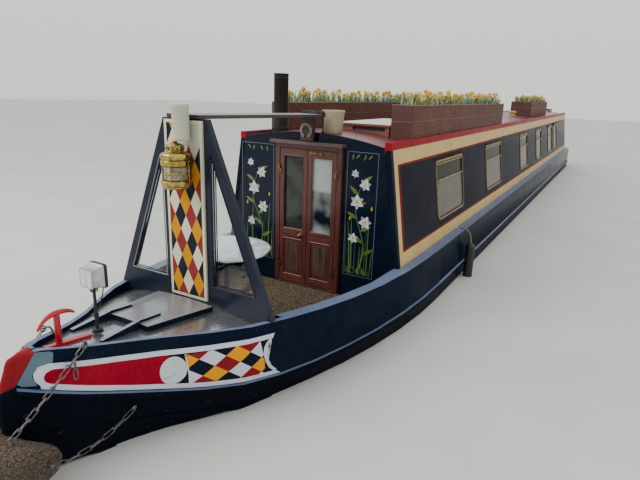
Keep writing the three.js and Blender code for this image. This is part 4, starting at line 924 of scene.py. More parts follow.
# %% Frame and panes
GUNWALE_AT_CRATCH = gunwale_top(1.543)
LEG_FOOT, LEG_HEAD, LEG_TOP = 0.688, 0.186, 2.428
LEG_WIDTH, PANE_INNER, PANE_LOW = 0.066, 0.206, 1.325
FRAME_FACES = (1.521, 1.566)


def leg_at(z):
    """How far out the cratch's legs stand at a height."""
    part = (z - GUNWALE_AT_CRATCH) / (LEG_TOP - GUNWALE_AT_CRATCH)
    return LEG_FOOT + (LEG_HEAD - LEG_FOOT) * part


def make_pane_beads(side):
    """The beads round a pane, on both of its faces."""
    bm = bmesh.new()
    slope = (LEG_FOOT - LEG_HEAD) / (LEG_TOP - GUNWALE_AT_CRATCH)
    head = GUNWALE_AT_CRATCH + (LEG_FOOT - LEG_WIDTH - PANE_INNER - 0.012) / slope
    edge = 0.007
    outer = [(PANE_INNER, PANE_LOW), (leg_at(PANE_LOW) - LEG_WIDTH, PANE_LOW),
             (leg_at(head) - LEG_WIDTH, head), (PANE_INNER, head)]
    for x, out in ((FRAME_FACES[0], -1), (FRAME_FACES[1], 1)):
        path = [(x + out * 0.001, side * (y - edge * (1 if y > PANE_INNER + 0.02 else -1)), z + lift)
                for (y, z), lift in zip(outer, (edge, edge, -edge, -edge))]
        bead_round(bm, path, 0.0042)
    finish = FRAME_PAINT if side > 0 else PANE_BEAD
    piece("pane_beads_" + SIDES[side], bm, finish, smooth=50)


def bead_round(bm, corners, radius):
    """Round bars along the sides of a frame."""
    for a, b in zip(corners, corners[1:] + corners[:1]):
        round_bar(bm, [a, b], radius, 8, curved=False)


dressed("cratch_frame", FRAME_PAINT, 3 * MM)
for side in SIDES:
    make_pane_beads(side)
for node in ("cratch_glass_port", "cratch_glass_starboard"):
    dressed(node, CLEAR_GLASS, 0.5 * MM)

# %% [markdown]
# ## The diamonds on the centre board
# Rows of cream and mustard diamonds with red and navy ones between are an old boat painters'
# pattern. Two families of slanting planes cut the board, and a cell's row and column colour it.

# %% The centre board
BOARD_HALF, BOARD_BORDER = 0.161, 0.02
BOARD_LOW, BOARD_HIGH = 1.219, 2.418
DIAMOND_WIDE, DIAMOND_HIGH, DIAMOND_TOP = 2 * (BOARD_HALF - BOARD_BORDER) / 3, 0.186, 2.2


def cut_board(bm):
    """Cuts the board's border and its diamonds."""
    def front():
        return [face for face in bm.faces if face.normal.x > 0.9]
    inner = BOARD_HALF - BOARD_BORDER
    for y in (-inner, inner):
        cut_at(bm, "y", y, front())
    for z in (BOARD_LOW + BOARD_BORDER, BOARD_HIGH - BOARD_BORDER):
        cut_at(bm, "z", z, front())
    for lean in (1, -1):
        normal = Vector((0, DIAMOND_HIGH, lean * DIAMOND_WIDE))
        for step in range(-9, 18):
            foot = Vector((0, -inner + DIAMOND_WIDE * (step + 0.5), BOARD_LOW + BOARD_BORDER))
            inside = [f for f in front() if board_cell(f.calc_center_median()) is not None]
            cut_by(bm, foot, normal, inside)


def board_cell(centre):
    """A point's place in the pattern: None on the border, or its two slanting counts."""
    y = centre.y + BOARD_HALF - BOARD_BORDER
    z = centre.z - BOARD_LOW - BOARD_BORDER
    if not (0 < y < 2 * (BOARD_HALF - BOARD_BORDER)
            and 0 < z < BOARD_HIGH - BOARD_LOW - 2 * BOARD_BORDER):
        return None
    rising = math.floor(y / DIAMOND_WIDE - 0.5 + z / DIAMOND_HIGH)
    falling = math.floor(y / DIAMOND_WIDE - 0.5 - z / DIAMOND_HIGH)
    return rising, falling


def board_finish(face):
    """0 cream, 1 mustard, 2 red, 3 navy, 4 the plain grey-cream at the top."""
    centre = face.calc_center_median()
    cell = board_cell(centre) if face.normal.x > 0.9 else None
    if cell is None:
        return 0
    rising, falling = cell
    row, column = rising - falling, rising + falling + 1
    if centre.z > DIAMOND_TOP and centre.y > -0.08:
        return 4
    if column % 2 == 0:
        return (row // 2 + column // 2 + 1) % 2 if row % 2 else 3
    return 3 - (row // 2 + (column + 1) // 2) % 2


MUSTARD = gloss("enamel_mustard", "#c08410", "#ca8e18", 0.25, 0.2, level=0.03)
BRICK_RED = gloss("enamel_brick_red", "#7e3031", "#883837", 0.25, 0.2, level=0.03)
DIAMOND_NAVY = gloss("enamel_diamond_navy", "#1b202c", "#242b39", 0.2, 0.2, level=0.05)
BOARD_CREAM = gloss("enamel_board_cream", "#d2cdae", "#c6c1a3", 0.3, 0.3)
BOARD_GREY = gloss("enamel_board_grey_cream", "#aeb0a0", "#bcbcab", 0.3, 0.6)
board_finishes = [BOARD_CREAM, MUSTARD, BRICK_RED, DIAMOND_NAVY, BOARD_GREY]
dressed("cratch_board", board_finishes, 0.0, board_finish, shape=cut_board)

# %% Plank, block and rolled cover
# The plank's pale top is a painted sky reflection on its dark paint.
PLANK_TOP_REFLECTION = timber("plank_top_painted_sky_reflection", "#8f8a86", "#6a6562", "X", 0.4, wear="#a5a09c")
STAY_IRON = gloss("painted_stay_iron", "#1d1c1e", "#2b292a", 0.35, 0.3, level=0.2)
PLANK_UNDER = 2.396


def plank_finish(face):
    """0 for the plank's sides, 1 for the stay under it, 2 for its top, painted pale as a sky reflection."""
    return 1 if face.calc_center_median().z < PLANK_UNDER else (2 if face.normal.z > 0.7 else 0)


dressed("top_plank", [PLANK_WOOD, STAY_IRON, PLANK_TOP_REFLECTION], 2.5 * MM, plank_finish)
dressed("plank_bracket", BLOCK_WOOD, 4 * MM)


def canvas():
    """Black coated canvas: a plain weave, drawn a little coarse so that it shows, and creases."""
    made = Finish("coated_canvas_black", Roughness=0.5, Specular_IOR_Level=0.3)
    made.tint(made.patches(45 * MM, 0.35, 0.7), "#08090b", "#17181b")
    made.relief(made.wave(1 / (4 * MM) / 20, distortion=0.4), 0.3 * MM)
    return made.made


STRAPS = (-0.02, 0.085)


def make_rolled_cover():
    """The cover bundled on the plank: a low crumpled heap of folds, tied by two straps."""
    bm = bmesh.new()
    centre, radius = Vector((0.006, 0, 2.4266)), 0.0285
    rng = random.Random(4)
    rings = []
    for y in along(-0.086, 0.148, 30):
        end = min(1.0, (0.117 - abs(y - 0.031)) / 0.03 + 0.45)
        sag = 0.78 if min(abs(y - strap) for strap in STRAPS) < 0.012 else 1.0
        points = [centre + Vector((-radius, y, 0)), centre + Vector((radius, y, 0))]
        for i in range(1, 18):
            angle = pi * i / 18
            fold = 0.84 + 0.11 * sin(5 * angle + 40 * y) + rng.uniform(-0.05, 0.05)
            reach = radius * fold * sag * end
            x, z = reach * cos(angle) * 1.05, reach * sin(angle) * 1.15
            points.append(centre + Vector((x, y, z)))
        rings.append(closed_loop(bm, points))
    skinned(bm, rings)
    for y in STRAPS:
        arch = half_round(0, 0, 0.027, 0.0255, 15, 150, 10)
        arch = [(radius + 0.001, 0.0003)] + arch + [(-radius - 0.001, 0.0003)]
        path = [centre + Vector((x, y, z)) for x, z in arch]
        round_bar(bm, path, 0.0026, 8, finish=1, curved=False)
    piece("rolled_cover_canvas", bm, [canvas(), RUBBER], "rolled_cover", smooth=60)


make_rolled_cover()

# %% [markdown]
# ## The brass lantern and the pale lamp
# A ship's lantern is spun brass: a base band, a ribbed glass between guard rods, an upper band and a
# stepped crown with vents and a knob. A profile spun about the upright axis gives each.

# %% The lantern
LANTERN, BRACKET_X = Vector((1.6803, 0.028, 0.03)), 1.5823


def make_lantern():
    """Bands, glass, guards, crown and knob, with the bracket to the board."""
    bm = bmesh.new()
    base = [(0, 1.972), (0.08, 1.972), (0.084, 1.976), (0.086, 1.986), (0.092, 1.99), (0.0945, 1.994),
            (0.0945, 2.018), (0.091, 2.022), (0.086, 2.023), (0.078, 2.024), (0, 2.024)]
    upper = [(0, 2.112), (0.078, 2.112), (0.088, 2.114), (0.0925, 2.118), (0.0925, 2.144), (0.089, 2.148),
             (0.084, 2.15), (0.09, 2.156), (0.092, 2.166), (0.092, 2.18), (0.088, 2.188), (0.078, 2.194),
             (0.062, 2.2), (0.056, 2.206), (0, 2.206)]
    crown = [(0, 2.204), (0.05, 2.204), (0.054, 2.209), (0.054, 2.232), (0.058, 2.236), (0.056, 2.241),
             (0.042, 2.245), (0.034, 2.25), (0.03, 2.252), (0, 2.252)]
    knob = [(0, 2.248), (0.014, 2.248), (0.011, 2.252), (0.016, 2.256), (0.017, 2.2595), (0.012, 2.263),
            (0, 2.2645)]
    ribs = [(0.072 + 0.0025 * (i % 2), 2.026 + 0.0835 * i / 14) for i in range(15)]
    hoop = [(0.084, 2.066), (0.0915, 2.066), (0.0915, 2.072), (0.084, 2.072), (0.084, 2.066)]
    for profile, steps, finish in ((base, 40, 0), (upper, 40, 0), (crown, 32, 0), (knob, 20, 1),
                                   ([(0, 2.0235)] + ribs + [(0, 2.1125)], 40, 2), (hoop, 40, 0)):
        turned(bm, profile, LANTERN, steps=steps, finish=finish)
    for x, y in half_round(LANTERN.x, LANTERN.y, 0.0875, 0.0875, 22.5, 315, 7):
        low, high = LANTERN.z + 2.02, LANTERN.z + 2.116
        round_bar(bm, [(x, y, low), (x, y, high)], 0.0042, 8, curved=False)
    # The crown's vents are black spheres: painted shade of the vent holes.
    for x, y in half_round(LANTERN.x, LANTERN.y, 0.0542, 0.0542, 0, 330, 11):
        vent = bmesh.ops.create_uvsphere(bm, u_segments=8, v_segments=6, radius=0.0062)["verts"]
        bmesh.ops.translate(bm, verts=vent, vec=(x, y, LANTERN.z + 2.2205))
        recolour(vent, 3)
    block(bm, (BRACKET_X, -0.01, 2.032), (1.5873, 0.066, 2.158))
    for z in (2.148, 2.034):
        block(bm, (1.586, 0.006, z), (1.62, 0.05, z + 0.008))
    for y in (-0.012, 0.068):
        block(bm, (BRACKET_X, y - 0.003, 2.156), (1.5863, y + 0.003, 2.16))
    finishes = [POLISHED_BRASS, COPPER, LENS_GLASS, RUBBER]
    piece("lantern_polished", bm, finishes, "lantern", 0.6 * MM, 40)


def lens_glass():
    """Ribbed pressed glass, its pale tone a painted reflection of the reflector behind it: glossy, a little
    smoky.
    """
    made = Finish("pressed_lens_glass_with_painted_reflection", Roughness=0.05, Coat_Weight=1.0)
    # The lens's pale tone is a painted reflection of the reflector behind it.
    made.tint(made.patches(26 * MM, 0.3, 0.7, 4.0), "#59543f", "#a9a387")
    return made.made


COPPER = metal("lacquered_copper", "#b5652e", "#7d4522", 0.2, 20 * MM, 0.05 * MM)


LENS_GLASS = lens_glass()
make_lantern()

# %% The pale lamp above it
LAMP_ENAMEL = gloss("stove_enamel_grey_white", "#a9ab98", "#b7b8a6", 0.42, 0.3, 0.2 * MM)
PALE_LAMP = Vector((1.644, 0.048, 0.0))


def make_pale_lamp():
    """A drawn can with a rolled rim, a seam and a hanger to the board."""
    bm = bmesh.new()
    body = [(0, 2.297), (0.048, 2.297), (0.052, 2.3), (0.0538, 2.304), (0.0538, 2.314), (0.053, 2.316),
            (0.053, 2.486), (0.0538, 2.49), (0.0548, 2.496), (0.0548, 2.51), (0.053, 2.5165), (0.049, 2.519),
            (0.042, 2.5205), (0.02, 2.524), (0, 2.5245)]
    turned(bm, body, PALE_LAMP, steps=48)
    block(bm, (BRACKET_X, 0.034, 2.322), (1.6, 0.062, 2.398))
    round_bar(bm, [(1.644, 0.1025, 2.32), (1.644, 0.102, 2.38), (1.644, 0.102, 2.47)], 0.0015, 6)
    for z in (2.32, 2.47):
        cap = bmesh.ops.create_uvsphere(bm, u_segments=10, v_segments=6, radius=0.003)["verts"]
        bmesh.ops.translate(bm, verts=cap, vec=(1.644, 0.102, z))
    piece("pale_lamp_enamelled", bm, LAMP_ENAMEL, "pale_lamp", 0.0, 35)


make_pale_lamp()

# %% [markdown]
# ## Foredeck
# The deck and the locker lid wear dark gloss, which mirrors the sky at this low angle. The deck's
# grey base is partly, and the lid's paler grey wholly, a painted sky reflection, and the sides of the
# straps on them are painted navy as shade. The T stud is a forged bollard whose horns taper, so it is
# made again as a bar of changing thickness.

# %% Deck, lid and stud
STUD_RED = gloss("enamel_stud_red", "#9c1220", "#b01a28", 0.15, 0.2, 0.3 * MM)
STRAP_BLUE = gloss("deck_fitting_blue_grey", "#7c8198", "#9095aa", 0.22, 0.3)


def deck_finish(face):
    """0 for the deck, 1 for the tops of the hinge straps, 2 for the red stem bar, 3 for the straps' sides,
    painted navy as shade.
    """
    centre = face.calc_center_median()
    if abs(centre.y) < 0.0165 and centre.x > 2.365:
        return 2
    reach = centre.x - 1.5
    plate = 1.192 + 0.035 * reach + 0.03 * reach ** 2 - 0.05 * (centre.y / 0.55) ** 2
    near_strap = min(abs(centre.y + 0.145), abs(centre.y - 0.11)) < 0.0135
    on_strap = near_strap and 2.105 < centre.x < 2.39 and centre.z > plate + 3 * MM
    return 0 if not on_strap else (1 if face.normal.z > 0.6 else 3)


# The straps' sides are painted navy as shade under the raised bars.
dressed("foredeck", [DECK, STRAP_BLUE, STUD_RED, NAVY], 2 * MM, deck_finish)


def lid_finish(face):
    """0 for the lid, its pale grey a painted sky reflection, 1 for the tops of its two straps, 2 for its own
    dark sides and the straps' sides, painted navy as shade.
    """
    centre = face.calc_center_median()
    near_strap = min(abs(centre.y + 0.145), abs(centre.y - 0.11)) < 0.0062
    if face.normal.z < 0.6:
        return 2
    return 1 if near_strap and 1.94 < centre.x < 2.14 else 0


# The lid's pale grey is a painted sky reflection on its dark paint.
LID_PAINTED_REFLECTION = gloss("lid_paint_painted_sky_reflection", "#77787b", "#838487", 0.2, 0.7, 1.2 * MM, 0.9)
dressed("locker_lid", [LID_PAINTED_REFLECTION, STRAP_BLUE, NAVY], 2.5 * MM, lid_finish)


def make_stud():
    """The T stud: a round post and two horns that taper to blunt points."""
    bm = bmesh.new()
    round_bar(bm, [(2.555, 0, 1.262), (2.555, 0, 1.36), (2.555, 0, 1.452)], 0.0168, 16, curved=False)
    path = [(2.666, 0, 1.392), (2.65, 0, 1.416), (2.622, 0, 1.44), (2.585, 0, 1.454), (2.555, 0, 1.457),
            (2.52, 0, 1.455), (2.488, 0, 1.446), (2.462, 0, 1.434), (2.452, 0, 1.424)]
    radii = [0.45, 0.62, 0.85, 1.05, 1.12, 1.05, 0.85, 0.62, 0.45]
    round_bar(bm, path, 0.0135, 16, radii=radii)
    piece("t_stud_forged", bm, STUD_RED, "t_stud", smooth=60)


make_stud()

# %% [markdown]
# ## Headlamp
# The lamp is a pressed steel box with a black back plate, on a clamp and a thin post. Bridging a few
# square rings of changing size keeps its pressed look.

# %% The headlamp
HEADLAMP_X = 2.318
SILVER = metal("aluminised_steel", "#c2c7c4", "#9fa5a4", 0.3, 50 * MM, 0.1 * MM)


def headlamp_glass():
    """Fluted lens glass, pale as a painted reflection of the reflector behind it."""
    made = Finish("fluted_lens_glass_with_painted_reflection", Roughness=0.08, Coat_Weight=1.0)
    flutes = made.wave(6.0, "Y")
    # The pale tone is a painted reflection of the lamp's reflector.
    made.tint(flutes, "#b4babb", "#d3d8d8")
    made.relief(flutes, 0.3 * MM)
    return made.made


def make_headlamp():
    """Bowl, rim, glass, yoke, clamp, post and foot."""
    bm = bmesh.new()
    rings = []
    for x, half, low, high in ((-0.052, 0.054, 1.53, 1.65), (-0.049, 0.063, 1.521, 1.659),
                               (-0.034, 0.064, 1.52, 1.66), (-0.03, 0.06, 1.524, 1.656),
                               (0.034, 0.05, 1.536, 1.644), (0.036, 0.053, 1.533, 1.647),
                               (0.043, 0.053, 1.533, 1.647), (0.0445, 0.05, 1.536, 1.644),
                               (0.0445, 0.045, 1.541, 1.639)):
        square = rounded(2 * half, high - low, 0.012, 0.012, 3)
        rings.append(closed_loop(bm, [(HEADLAMP_X + x, y, (low + high) / 2 + z) for y, z in square]))
    for face in skinned(bm, rings)[1]:
        face.material_index = 1
    for face in bm.faces:
        if face.calc_center_median().x < HEADLAMP_X - 0.03:
            face.material_index = 2
    low = min(vert.co.z for vert in NODES["headlamp"].data.vertices)
    foot = Vector((HEADLAMP_X, 0, low))
    post = [(HEADLAMP_X, 0, low + 0.004), (HEADLAMP_X, 0, 1.4), (HEADLAMP_X, 0, 1.52)]
    round_bar(bm, post, 0.0088, 16, finish=2, curved=False)
    for start, radius, height in ((0.0003, 0.033, 0.006), (0.004, 0.0255, 0.018)):
        top = start + height
        disc = [(0, start), (radius, start), (radius, top - 0.002), (radius - 0.002, top), (0, top)]
        turned(bm, disc, foot, steps=24, finish=2)
    collar = [(0.008, 0.088), (0.0135, 0.088), (0.0135, 0.112), (0.008, 0.112), (0.008, 0.088)]
    turned(bm, collar, foot, steps=20, finish=2)
    round_bar(bm, [(HEADLAMP_X, 0.01, low + 0.1), (HEADLAMP_X, -0.036, low + 0.1)], 0.004, 8, finish=2)
    block(bm, (HEADLAMP_X - 0.016, -0.014, 1.5), (HEADLAMP_X + 0.016, 0.014, 1.53), 2)
    round_bar(bm, [(HEADLAMP_X, -0.02, 1.512), (HEADLAMP_X, 0.02, 1.512)], 0.005, 8, finish=3)
    gland = [(0, -0.016), (0.006, -0.016), (0.007, -0.01), (0.007, 0.004), (0, 0.004)]
    turned(bm, gland, Vector((HEADLAMP_X - 0.038, 0, 1.58)), (1, 0, 0), 16, 2)
    finishes = [SILVER, headlamp_glass(), RUBBER, STAINLESS]
    piece("headlamp_pressed", bm, finishes, "headlamp", 0.0, 40)


make_headlamp()

# %% [markdown]
# ## The lamp's cable
# The cable leaves the lamp's back, hangs in a slack bow and goes into a gland on the deck. Its
# length is measured along its route.

# %% The cable
CABLE = [(2.2655, 0, 1.58), (2.252, 0, 1.58), (2.236, -0.014, 1.545), (2.23, -0.04, 1.47),
         (2.22, -0.09, 1.37), (2.204, -0.15, 1.3), (2.194, -0.186, 1.2712), (2.194, -0.186, 1.2478)]
CABLE_THICK = 0.007


def smooth_route(points, count):
    """Points along a smooth curve through a few given ones."""
    ends = [points[0]] + list(points) + [points[-1]]
    route = []
    for i in range(count + 1):
        place = i / count * (len(points) - 1)
        k = min(int(place), len(points) - 2)
        t = place - k
        p0, p1, p2, p3 = (Vector(p) for p in ends[k : k + 4])
        route.append(0.5 * (2 * p1 + (p2 - p0) * t + (2 * p0 - 5 * p1 + 4 * p2 - p3) * t * t
                            + (3 * p1 - p0 - 3 * p2 + p3) * t ** 3))
    return route


def make_cable():
    """The cable as a tube along its route, its length measured from the route."""
    route = smooth_route(CABLE, 36)
    length = sum((b - a).length for a, b in zip(route, route[1:]))
    bm = bmesh.new()
    round_bar(bm, route, CABLE_THICK / 2, 12, curved=False)
    made = piece("lamp_cable_laid", bm, CABLE_RUBBER, "lamp_cable", smooth=60)
    print("lamp cable", round(length, 3), "m")
    return made, route, length


CABLE_RUBBER = gloss("extruded_cable_sheath", "#0d0e10", "#1a1b1d", 0.45, 0.3, 0.1 * MM)
cable_made, cable_route, cable_length = make_cable()

# %% [markdown]
# ## The cabin's front
# The steel bulkhead is dark gloss, with a thin line round each side panel and white blossoms inside
# it, laid as thin films of enamel: a petal is two arcs, and a blossom is six petals.

# %% Films of paint on a flat plate
LEAF_GREEN = gloss("enamel_leaf_green", "#4b6a2c", "#6a8a3c", 0.3, 0.1)
DEEP_GREEN = gloss("enamel_deep_green", "#26402f", "#33543a", 0.3, 0.1)
PETAL_WHITE = gloss("enamel_petal_white", "#cfcdc8", "#dddbd6", 0.3, 0.1)
PETAL_LILAC = gloss("enamel_petal_lilac", "#8d93ad", "#a7abc0", 0.3, 0.1)
BUD_YELLOW = gloss("enamel_bud_yellow", "#b9962a", "#cdaa38", 0.3, 0.1)
LINE_GREY = gloss("enamel_line_grey", "#59606a", "#6b727b", 0.3, 0.1)
PICTURE_FINISHES = [LINE_GREY, DEEP_GREEN, LEAF_GREEN, PETAL_LILAC, PETAL_WHITE, BUD_YELLOW]
GREY, DEEP, LEAF, LILAC, PETAL, BUD = range(6)
COAT_GAP = 0.35 * MM


def film(bm, outline, finish, layer):
    """A film of paint on the cabin's front: (y, z) points, and how many coats it lies over."""
    x = 0.0004 + layer * COAT_GAP
    pulled(bm, [flat_sheet(bm, [(x, y, z) for y, z in outline], finish)], (COAT_GAP * 1.2, 0, 0))


def petal(y, z, length, width, angle, count=6):
    """A leaf or petal: two arcs from its root to its tip, at an angle from upright."""
    turn = radians(angle)
    outline = []
    for side in (1, -1):
        for i in range(count):
            part = (i if side > 0 else count - i) / count
            reach = length * part
            out = side * width * 0.5 * sin(pi * part ** 0.8)
            outline.append((y + reach * sin(turn) + out * cos(turn),
                            z + reach * cos(turn) - out * sin(turn)))
    return outline


def stem_film(bm, points, width, finish, layer):
    """A stem or reed: a ribbon through a few points that thins to its tip."""
    count = len(points)
    left, right = [], []
    for i, (y, z) in enumerate(points):
        half = width / 2 * (1 - 0.75 * (i / (count - 1)) ** 1.5)
        left.append((y - half, z))
        right.append((y + half, z))
    film(bm, left + right[::-1], finish, layer)


def blossom(bm, y, z, size, tilt, layer):
    """Six petals, three of them shaded, round a yellow eye."""
    for i in range(6):
        angle = tilt + 60 * i
        film(bm, petal(y, z, size, size * 0.62, angle), LILAC if i % 2 else PETAL, layer + (i % 2 == 0))
        film(bm, petal(y, z, size * 0.55, size * 0.16, angle), LILAC if i % 2 == 0 else PETAL, layer + 2)
    eye = half_round(y, z, size * 0.2, size * 0.2, 0, 330, 11)
    film(bm, eye, BUD, layer + 3)


def sway(y, z, height, lean, count=7):
    """A curved line of points that leans as it rises."""
    return [(y + lean * (i / count) ** 2, z + height * i / count) for i in range(count + 1)]


# %% The two panels
PANELS = {"port": (0.386, 0.682), "starboard": (-0.768, -0.392)}
PANEL_LOW, PANEL_HIGH = 1.005, 2.13
LINE_WIDTH = 0.005


def make_picture(name, inner, outer, seed):
    """One side panel: its line, reeds, a climbing stem with blossoms, and leaves at its foot."""
    bm = bmesh.new()
    rng = random.Random(seed)
    wide = outer - inner
    def box(left, low, right, high, layer):
        film(bm, [(left, low), (right, low), (right, high), (left, high)], GREY, layer)
    for y in (inner, outer - LINE_WIDTH):
        box(y, PANEL_LOW, y + LINE_WIDTH, PANEL_HIGH, 0)
    for z in (PANEL_LOW, PANEL_HIGH - LINE_WIDTH):
        box(inner, z, outer, z + LINE_WIDTH, 1)
    for i in range(9):
        y = inner + wide * (0.08 + 0.84 * i / 8) + rng.uniform(-0.01, 0.01)
        tall = rng.uniform(0.28, 0.62) * (0.6 if 2 < i < 6 else 1.0)
        shade = DEEP if i % 3 == 0 else LEAF
        stem_film(bm, sway(y, PANEL_LOW + 0.02, tall, rng.uniform(-0.03, 0.03)), 0.012, shade, 2)
    middle, bend = inner + wide * 0.5, wide * 0.16
    climb = [(middle + bend * sin(2.2 * pi * i / 16), 1.06 + 0.86 * i / 16) for i in range(17)]
    stem_film(bm, climb, 0.011, LEAF, 3)
    for i in range(3, 16, 2):
        way = 1 if (i // 2) % 2 else -1
        film(bm, petal(*climb[i], 0.115, 0.034, way * rng.uniform(48, 66), 7), LEAF, 4)
        film(bm, petal(*climb[i], 0.07, 0.006, way * rng.uniform(52, 60), 4), DEEP, 5)
    for part, offset, size, tilt in ((0.34, -0.2, 0.052, 10), (0.52, 0.17, 0.064, 25), (0.72, -0.12, 0.07, 0),
                                     (0.9, 0.12, 0.058, 18), (1.0, -0.22, 0.04, 5)):
        blossom(bm, middle + offset * wide, 1.06 + 0.88 * part, size, tilt, 6)
    for i in range(7):
        y = inner + wide * (0.14 + 0.12 * i)
        leaf = petal(y, PANEL_LOW + 0.016, 0.075, 0.034, rng.uniform(-70, 70), 6)
        film(bm, leaf, LEAF if i % 2 else DEEP, 5)
    for i in range(4):
        turn = 180 + rng.uniform(-50, 50)
        film(bm, petal(inner + wide * (0.2 + 0.2 * i), PANEL_HIGH - 0.02, 0.055, 0.014, turn, 5), LEAF, 4)
    for part, z in ((0.16, 1.52), (0.86, 1.63)):
        film(bm, petal(inner + wide * part, z, 0.042, 0.018, 5, 5), BUD, 5)
    piece("front_picture_" + name, bm, PICTURE_FINISHES, smooth=60)


dressed("cabin_front", BULKHEAD, 2 * MM)
for seed, (name, (inner, outer)) in enumerate(PANELS.items(), 3):
    make_picture(name, inner, outer, seed)

# %% [markdown]
# ## The doors
# The doors are varnished hardwood. The grain of a stile runs up and down and that of a rail across,
# so each leaf is cut along its joints. The lower panel is raised and fielded, by a few insets of one
# face, and the glass is tinted like the windows'.

# %% Door leaves
GLASS_Y = (0.0405, 0.2595)
FRONT_LEAF = {"plane": 0.0, "out": 1, "glass": (1.35, 2.05), "panel": (0.89, 1.26)}
BACK_LEAF = {"plane": -13.9, "out": -1, "glass": (1.9, 2.202), "panel": (1.27, 1.81)}
FIELDING = ((0.008, 0.001), (0.03, 0.0055), (0.001, 0.0015), (0.003, 0.0))


def cut_leaf(bm):
    """Cuts a leaf along the joints between its stiles and rails."""
    for y in (-GLASS_Y[1], -GLASS_Y[0], GLASS_Y[0], GLASS_Y[1]):
        cut_at(bm, "y", y)


def leaf_finish(plane, out):
    """0 for a stile, 1 for a rail, 2 for a hinge."""
    def choose(face):
        centre = face.calc_center_median()
        if (centre.x - plane) * out > 0.0335:
            return 2
        return 1 if GLASS_Y[0] < abs(centre.y) < GLASS_Y[1] and abs(face.normal.y) < 0.9 else 0
    return choose


def make_leaf_trim(node, side, plane, out, glass, panel):
    """Mouldings, the raised panel and the glass of one leaf."""
    bm = bmesh.new()
    def corners(depth, low, high, inset):
        near, far = GLASS_Y[0] + inset, GLASS_Y[1] - inset
        places = ((near, low + inset), (far, low + inset), (far, high - inset), (near, high - inset))
        return [(plane + out * depth, side * y, z) for y, z in places]
    bead_round(bm, corners(0.027, *glass, 0.004), 0.0062)
    bead_round(bm, corners(0.029, *panel, 0.004), 0.0062)
    turn = 1 if out * side > 0 else -1
    fielded = flat_sheet(bm, corners(0.0225, *panel, 0.004)[::turn])
    fielded.normal_update()
    for inward, raised in FIELDING:
        bmesh.ops.inset_individual(bm, faces=[fielded], thickness=inward, depth=raised, use_even_offset=True)
    fielded.material_index = 1
    flat_sheet(bm, corners(0.0112, *glass, 0.001)[::turn], 2)
    finishes = [DOOR_WOOD, PANEL_WOOD, PALE_DOOR_GLASS if side > 0 else DOOR_GLASS]
    body = NODES[node]["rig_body"]
    piece(node + "_trim", bm, finishes, smooth=40, tidy=False, body=body)


PANEL_WOOD = timber("varnished_burr_panel", "#554636", "#382b22", "Z", 0.2, 16 * MM, 0.4, "#635441")
# The port door's dark glass is the tint and painted shade of the unlit cabin behind.
DOOR_GLASS = tinted_glass("tinted_door_glass", "#161b18", "#39403a", 2.4, 150 * MM)
PALE_DOOR_GLASS = tinted_glass("tinted_door_glass_over_blind", "#a3aca6", "#141c24", 1.74, 260 * MM)
for side, word in SIDES.items():
    for place, shape in (("front", FRONT_LEAF), ("back", BACK_LEAF)):
        node = "{}_door_{}".format(place, word)
        choose = leaf_finish(shape["plane"], shape["out"])
        dressed(node, [DOOR_WOOD, RAIL_WOOD, AGED_BRASS], 2 * MM, choose, shape=cut_leaf)
        make_leaf_trim(node, side, **shape)


def frame_finish(plane, out):
    """0 for the jambs, 1 for the head, the sill and the cap, 2 for a hinge, 3 for the cap's top, painted grey
    as a sky reflection.
    """
    def choose(face):
        centre = face.calc_center_median()
        reach = (centre.x - plane) * out
        if reach > 0.0355 and centre.z < 2.13:
            return 2
        if centre.z > 2.18 and face.normal.z > 0.5:
            return 3
        return 1 if centre.z > 2.112 or centre.z < 0.816 else 0
    return choose


# The cap's grey top is a painted sky reflection on its varnish.
CAP_TOP_REFLECTION = timber("cap_top_painted_sky_reflection", "#55525a", "#37353b", "Y", 0.3, 12 * MM, 0.3, "#6c6a70")
CAP_EDGE = timber("varnished_cap_edge", "#6a5148", "#45332d", "Y", 0.35, 9 * MM, 0.2, "#7b675e")
for node, edge, plane, out in (("front", CAP_EDGE, 0.0, 1), ("back", RAIL_WOOD, -13.9, -1)):
    finishes = [DOOR_WOOD, edge, AGED_BRASS, CAP_TOP_REFLECTION]
    dressed(node + "_door_frame", finishes, 2.5 * MM, frame_finish(plane, out))

# %% Knobs and bolt
FACE_OUT = 0.032


def fit_brass(node, bm):
    """Puts brass on a door leaf."""
    piece(node + "_brass", bm, AGED_BRASS, width=0.5 * MM, smooth=40, body=NODES[node]["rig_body"])


def make_knob(node, plane, out, height):
    """A turned knob on its rose, near the meeting stile."""
    bm = bmesh.new()
    knob = [(0, 0), (0.02, 0), (0.0205, 0.002), (0.017, 0.004), (0.008, 0.006), (0.007, 0.016), (0.012, 0.02),
            (0.0175, 0.026), (0.0185, 0.033), (0.015, 0.04), (0.008, 0.0435), (0, 0.0445)]
    turned(bm, knob, Vector((plane + out * (FACE_OUT + 0.0003), -0.062, height)), (out, 0, 0), 24)
    fit_brass(node, bm)


def make_bolt(node, low, high, middle):
    """A barrel bolt across the top of a front leaf: its plate, barrel, three bands and knob."""
    bm = bmesh.new()
    block(bm, (FACE_OUT, low, middle - 0.0125), (FACE_OUT + 0.004, high, middle + 0.0125))
    barrel, knob_y = FACE_OUT + 0.009, high - 0.045
    round_bar(bm, [(barrel, low + 0.006, middle), (barrel, high - 0.006, middle)], 0.0055, 12)
    for y in (low + 0.028, (low + high) / 2, high - 0.022):
        block(bm, (FACE_OUT, y - 0.006, middle - 0.0115), (FACE_OUT + 0.0155, y + 0.006, middle + 0.0115))
    round_bar(bm, [(FACE_OUT + 0.01, knob_y, middle), (FACE_OUT + 0.024, knob_y, middle)], 0.004, 10)
    fit_brass(node, bm)


make_bolt("front_door_port", 0.018, 0.165, 2.0815)
make_knob("front_door_starboard", 0.0, 1, 1.303)
make_knob("back_door_starboard", -13.9, -1, 1.855)

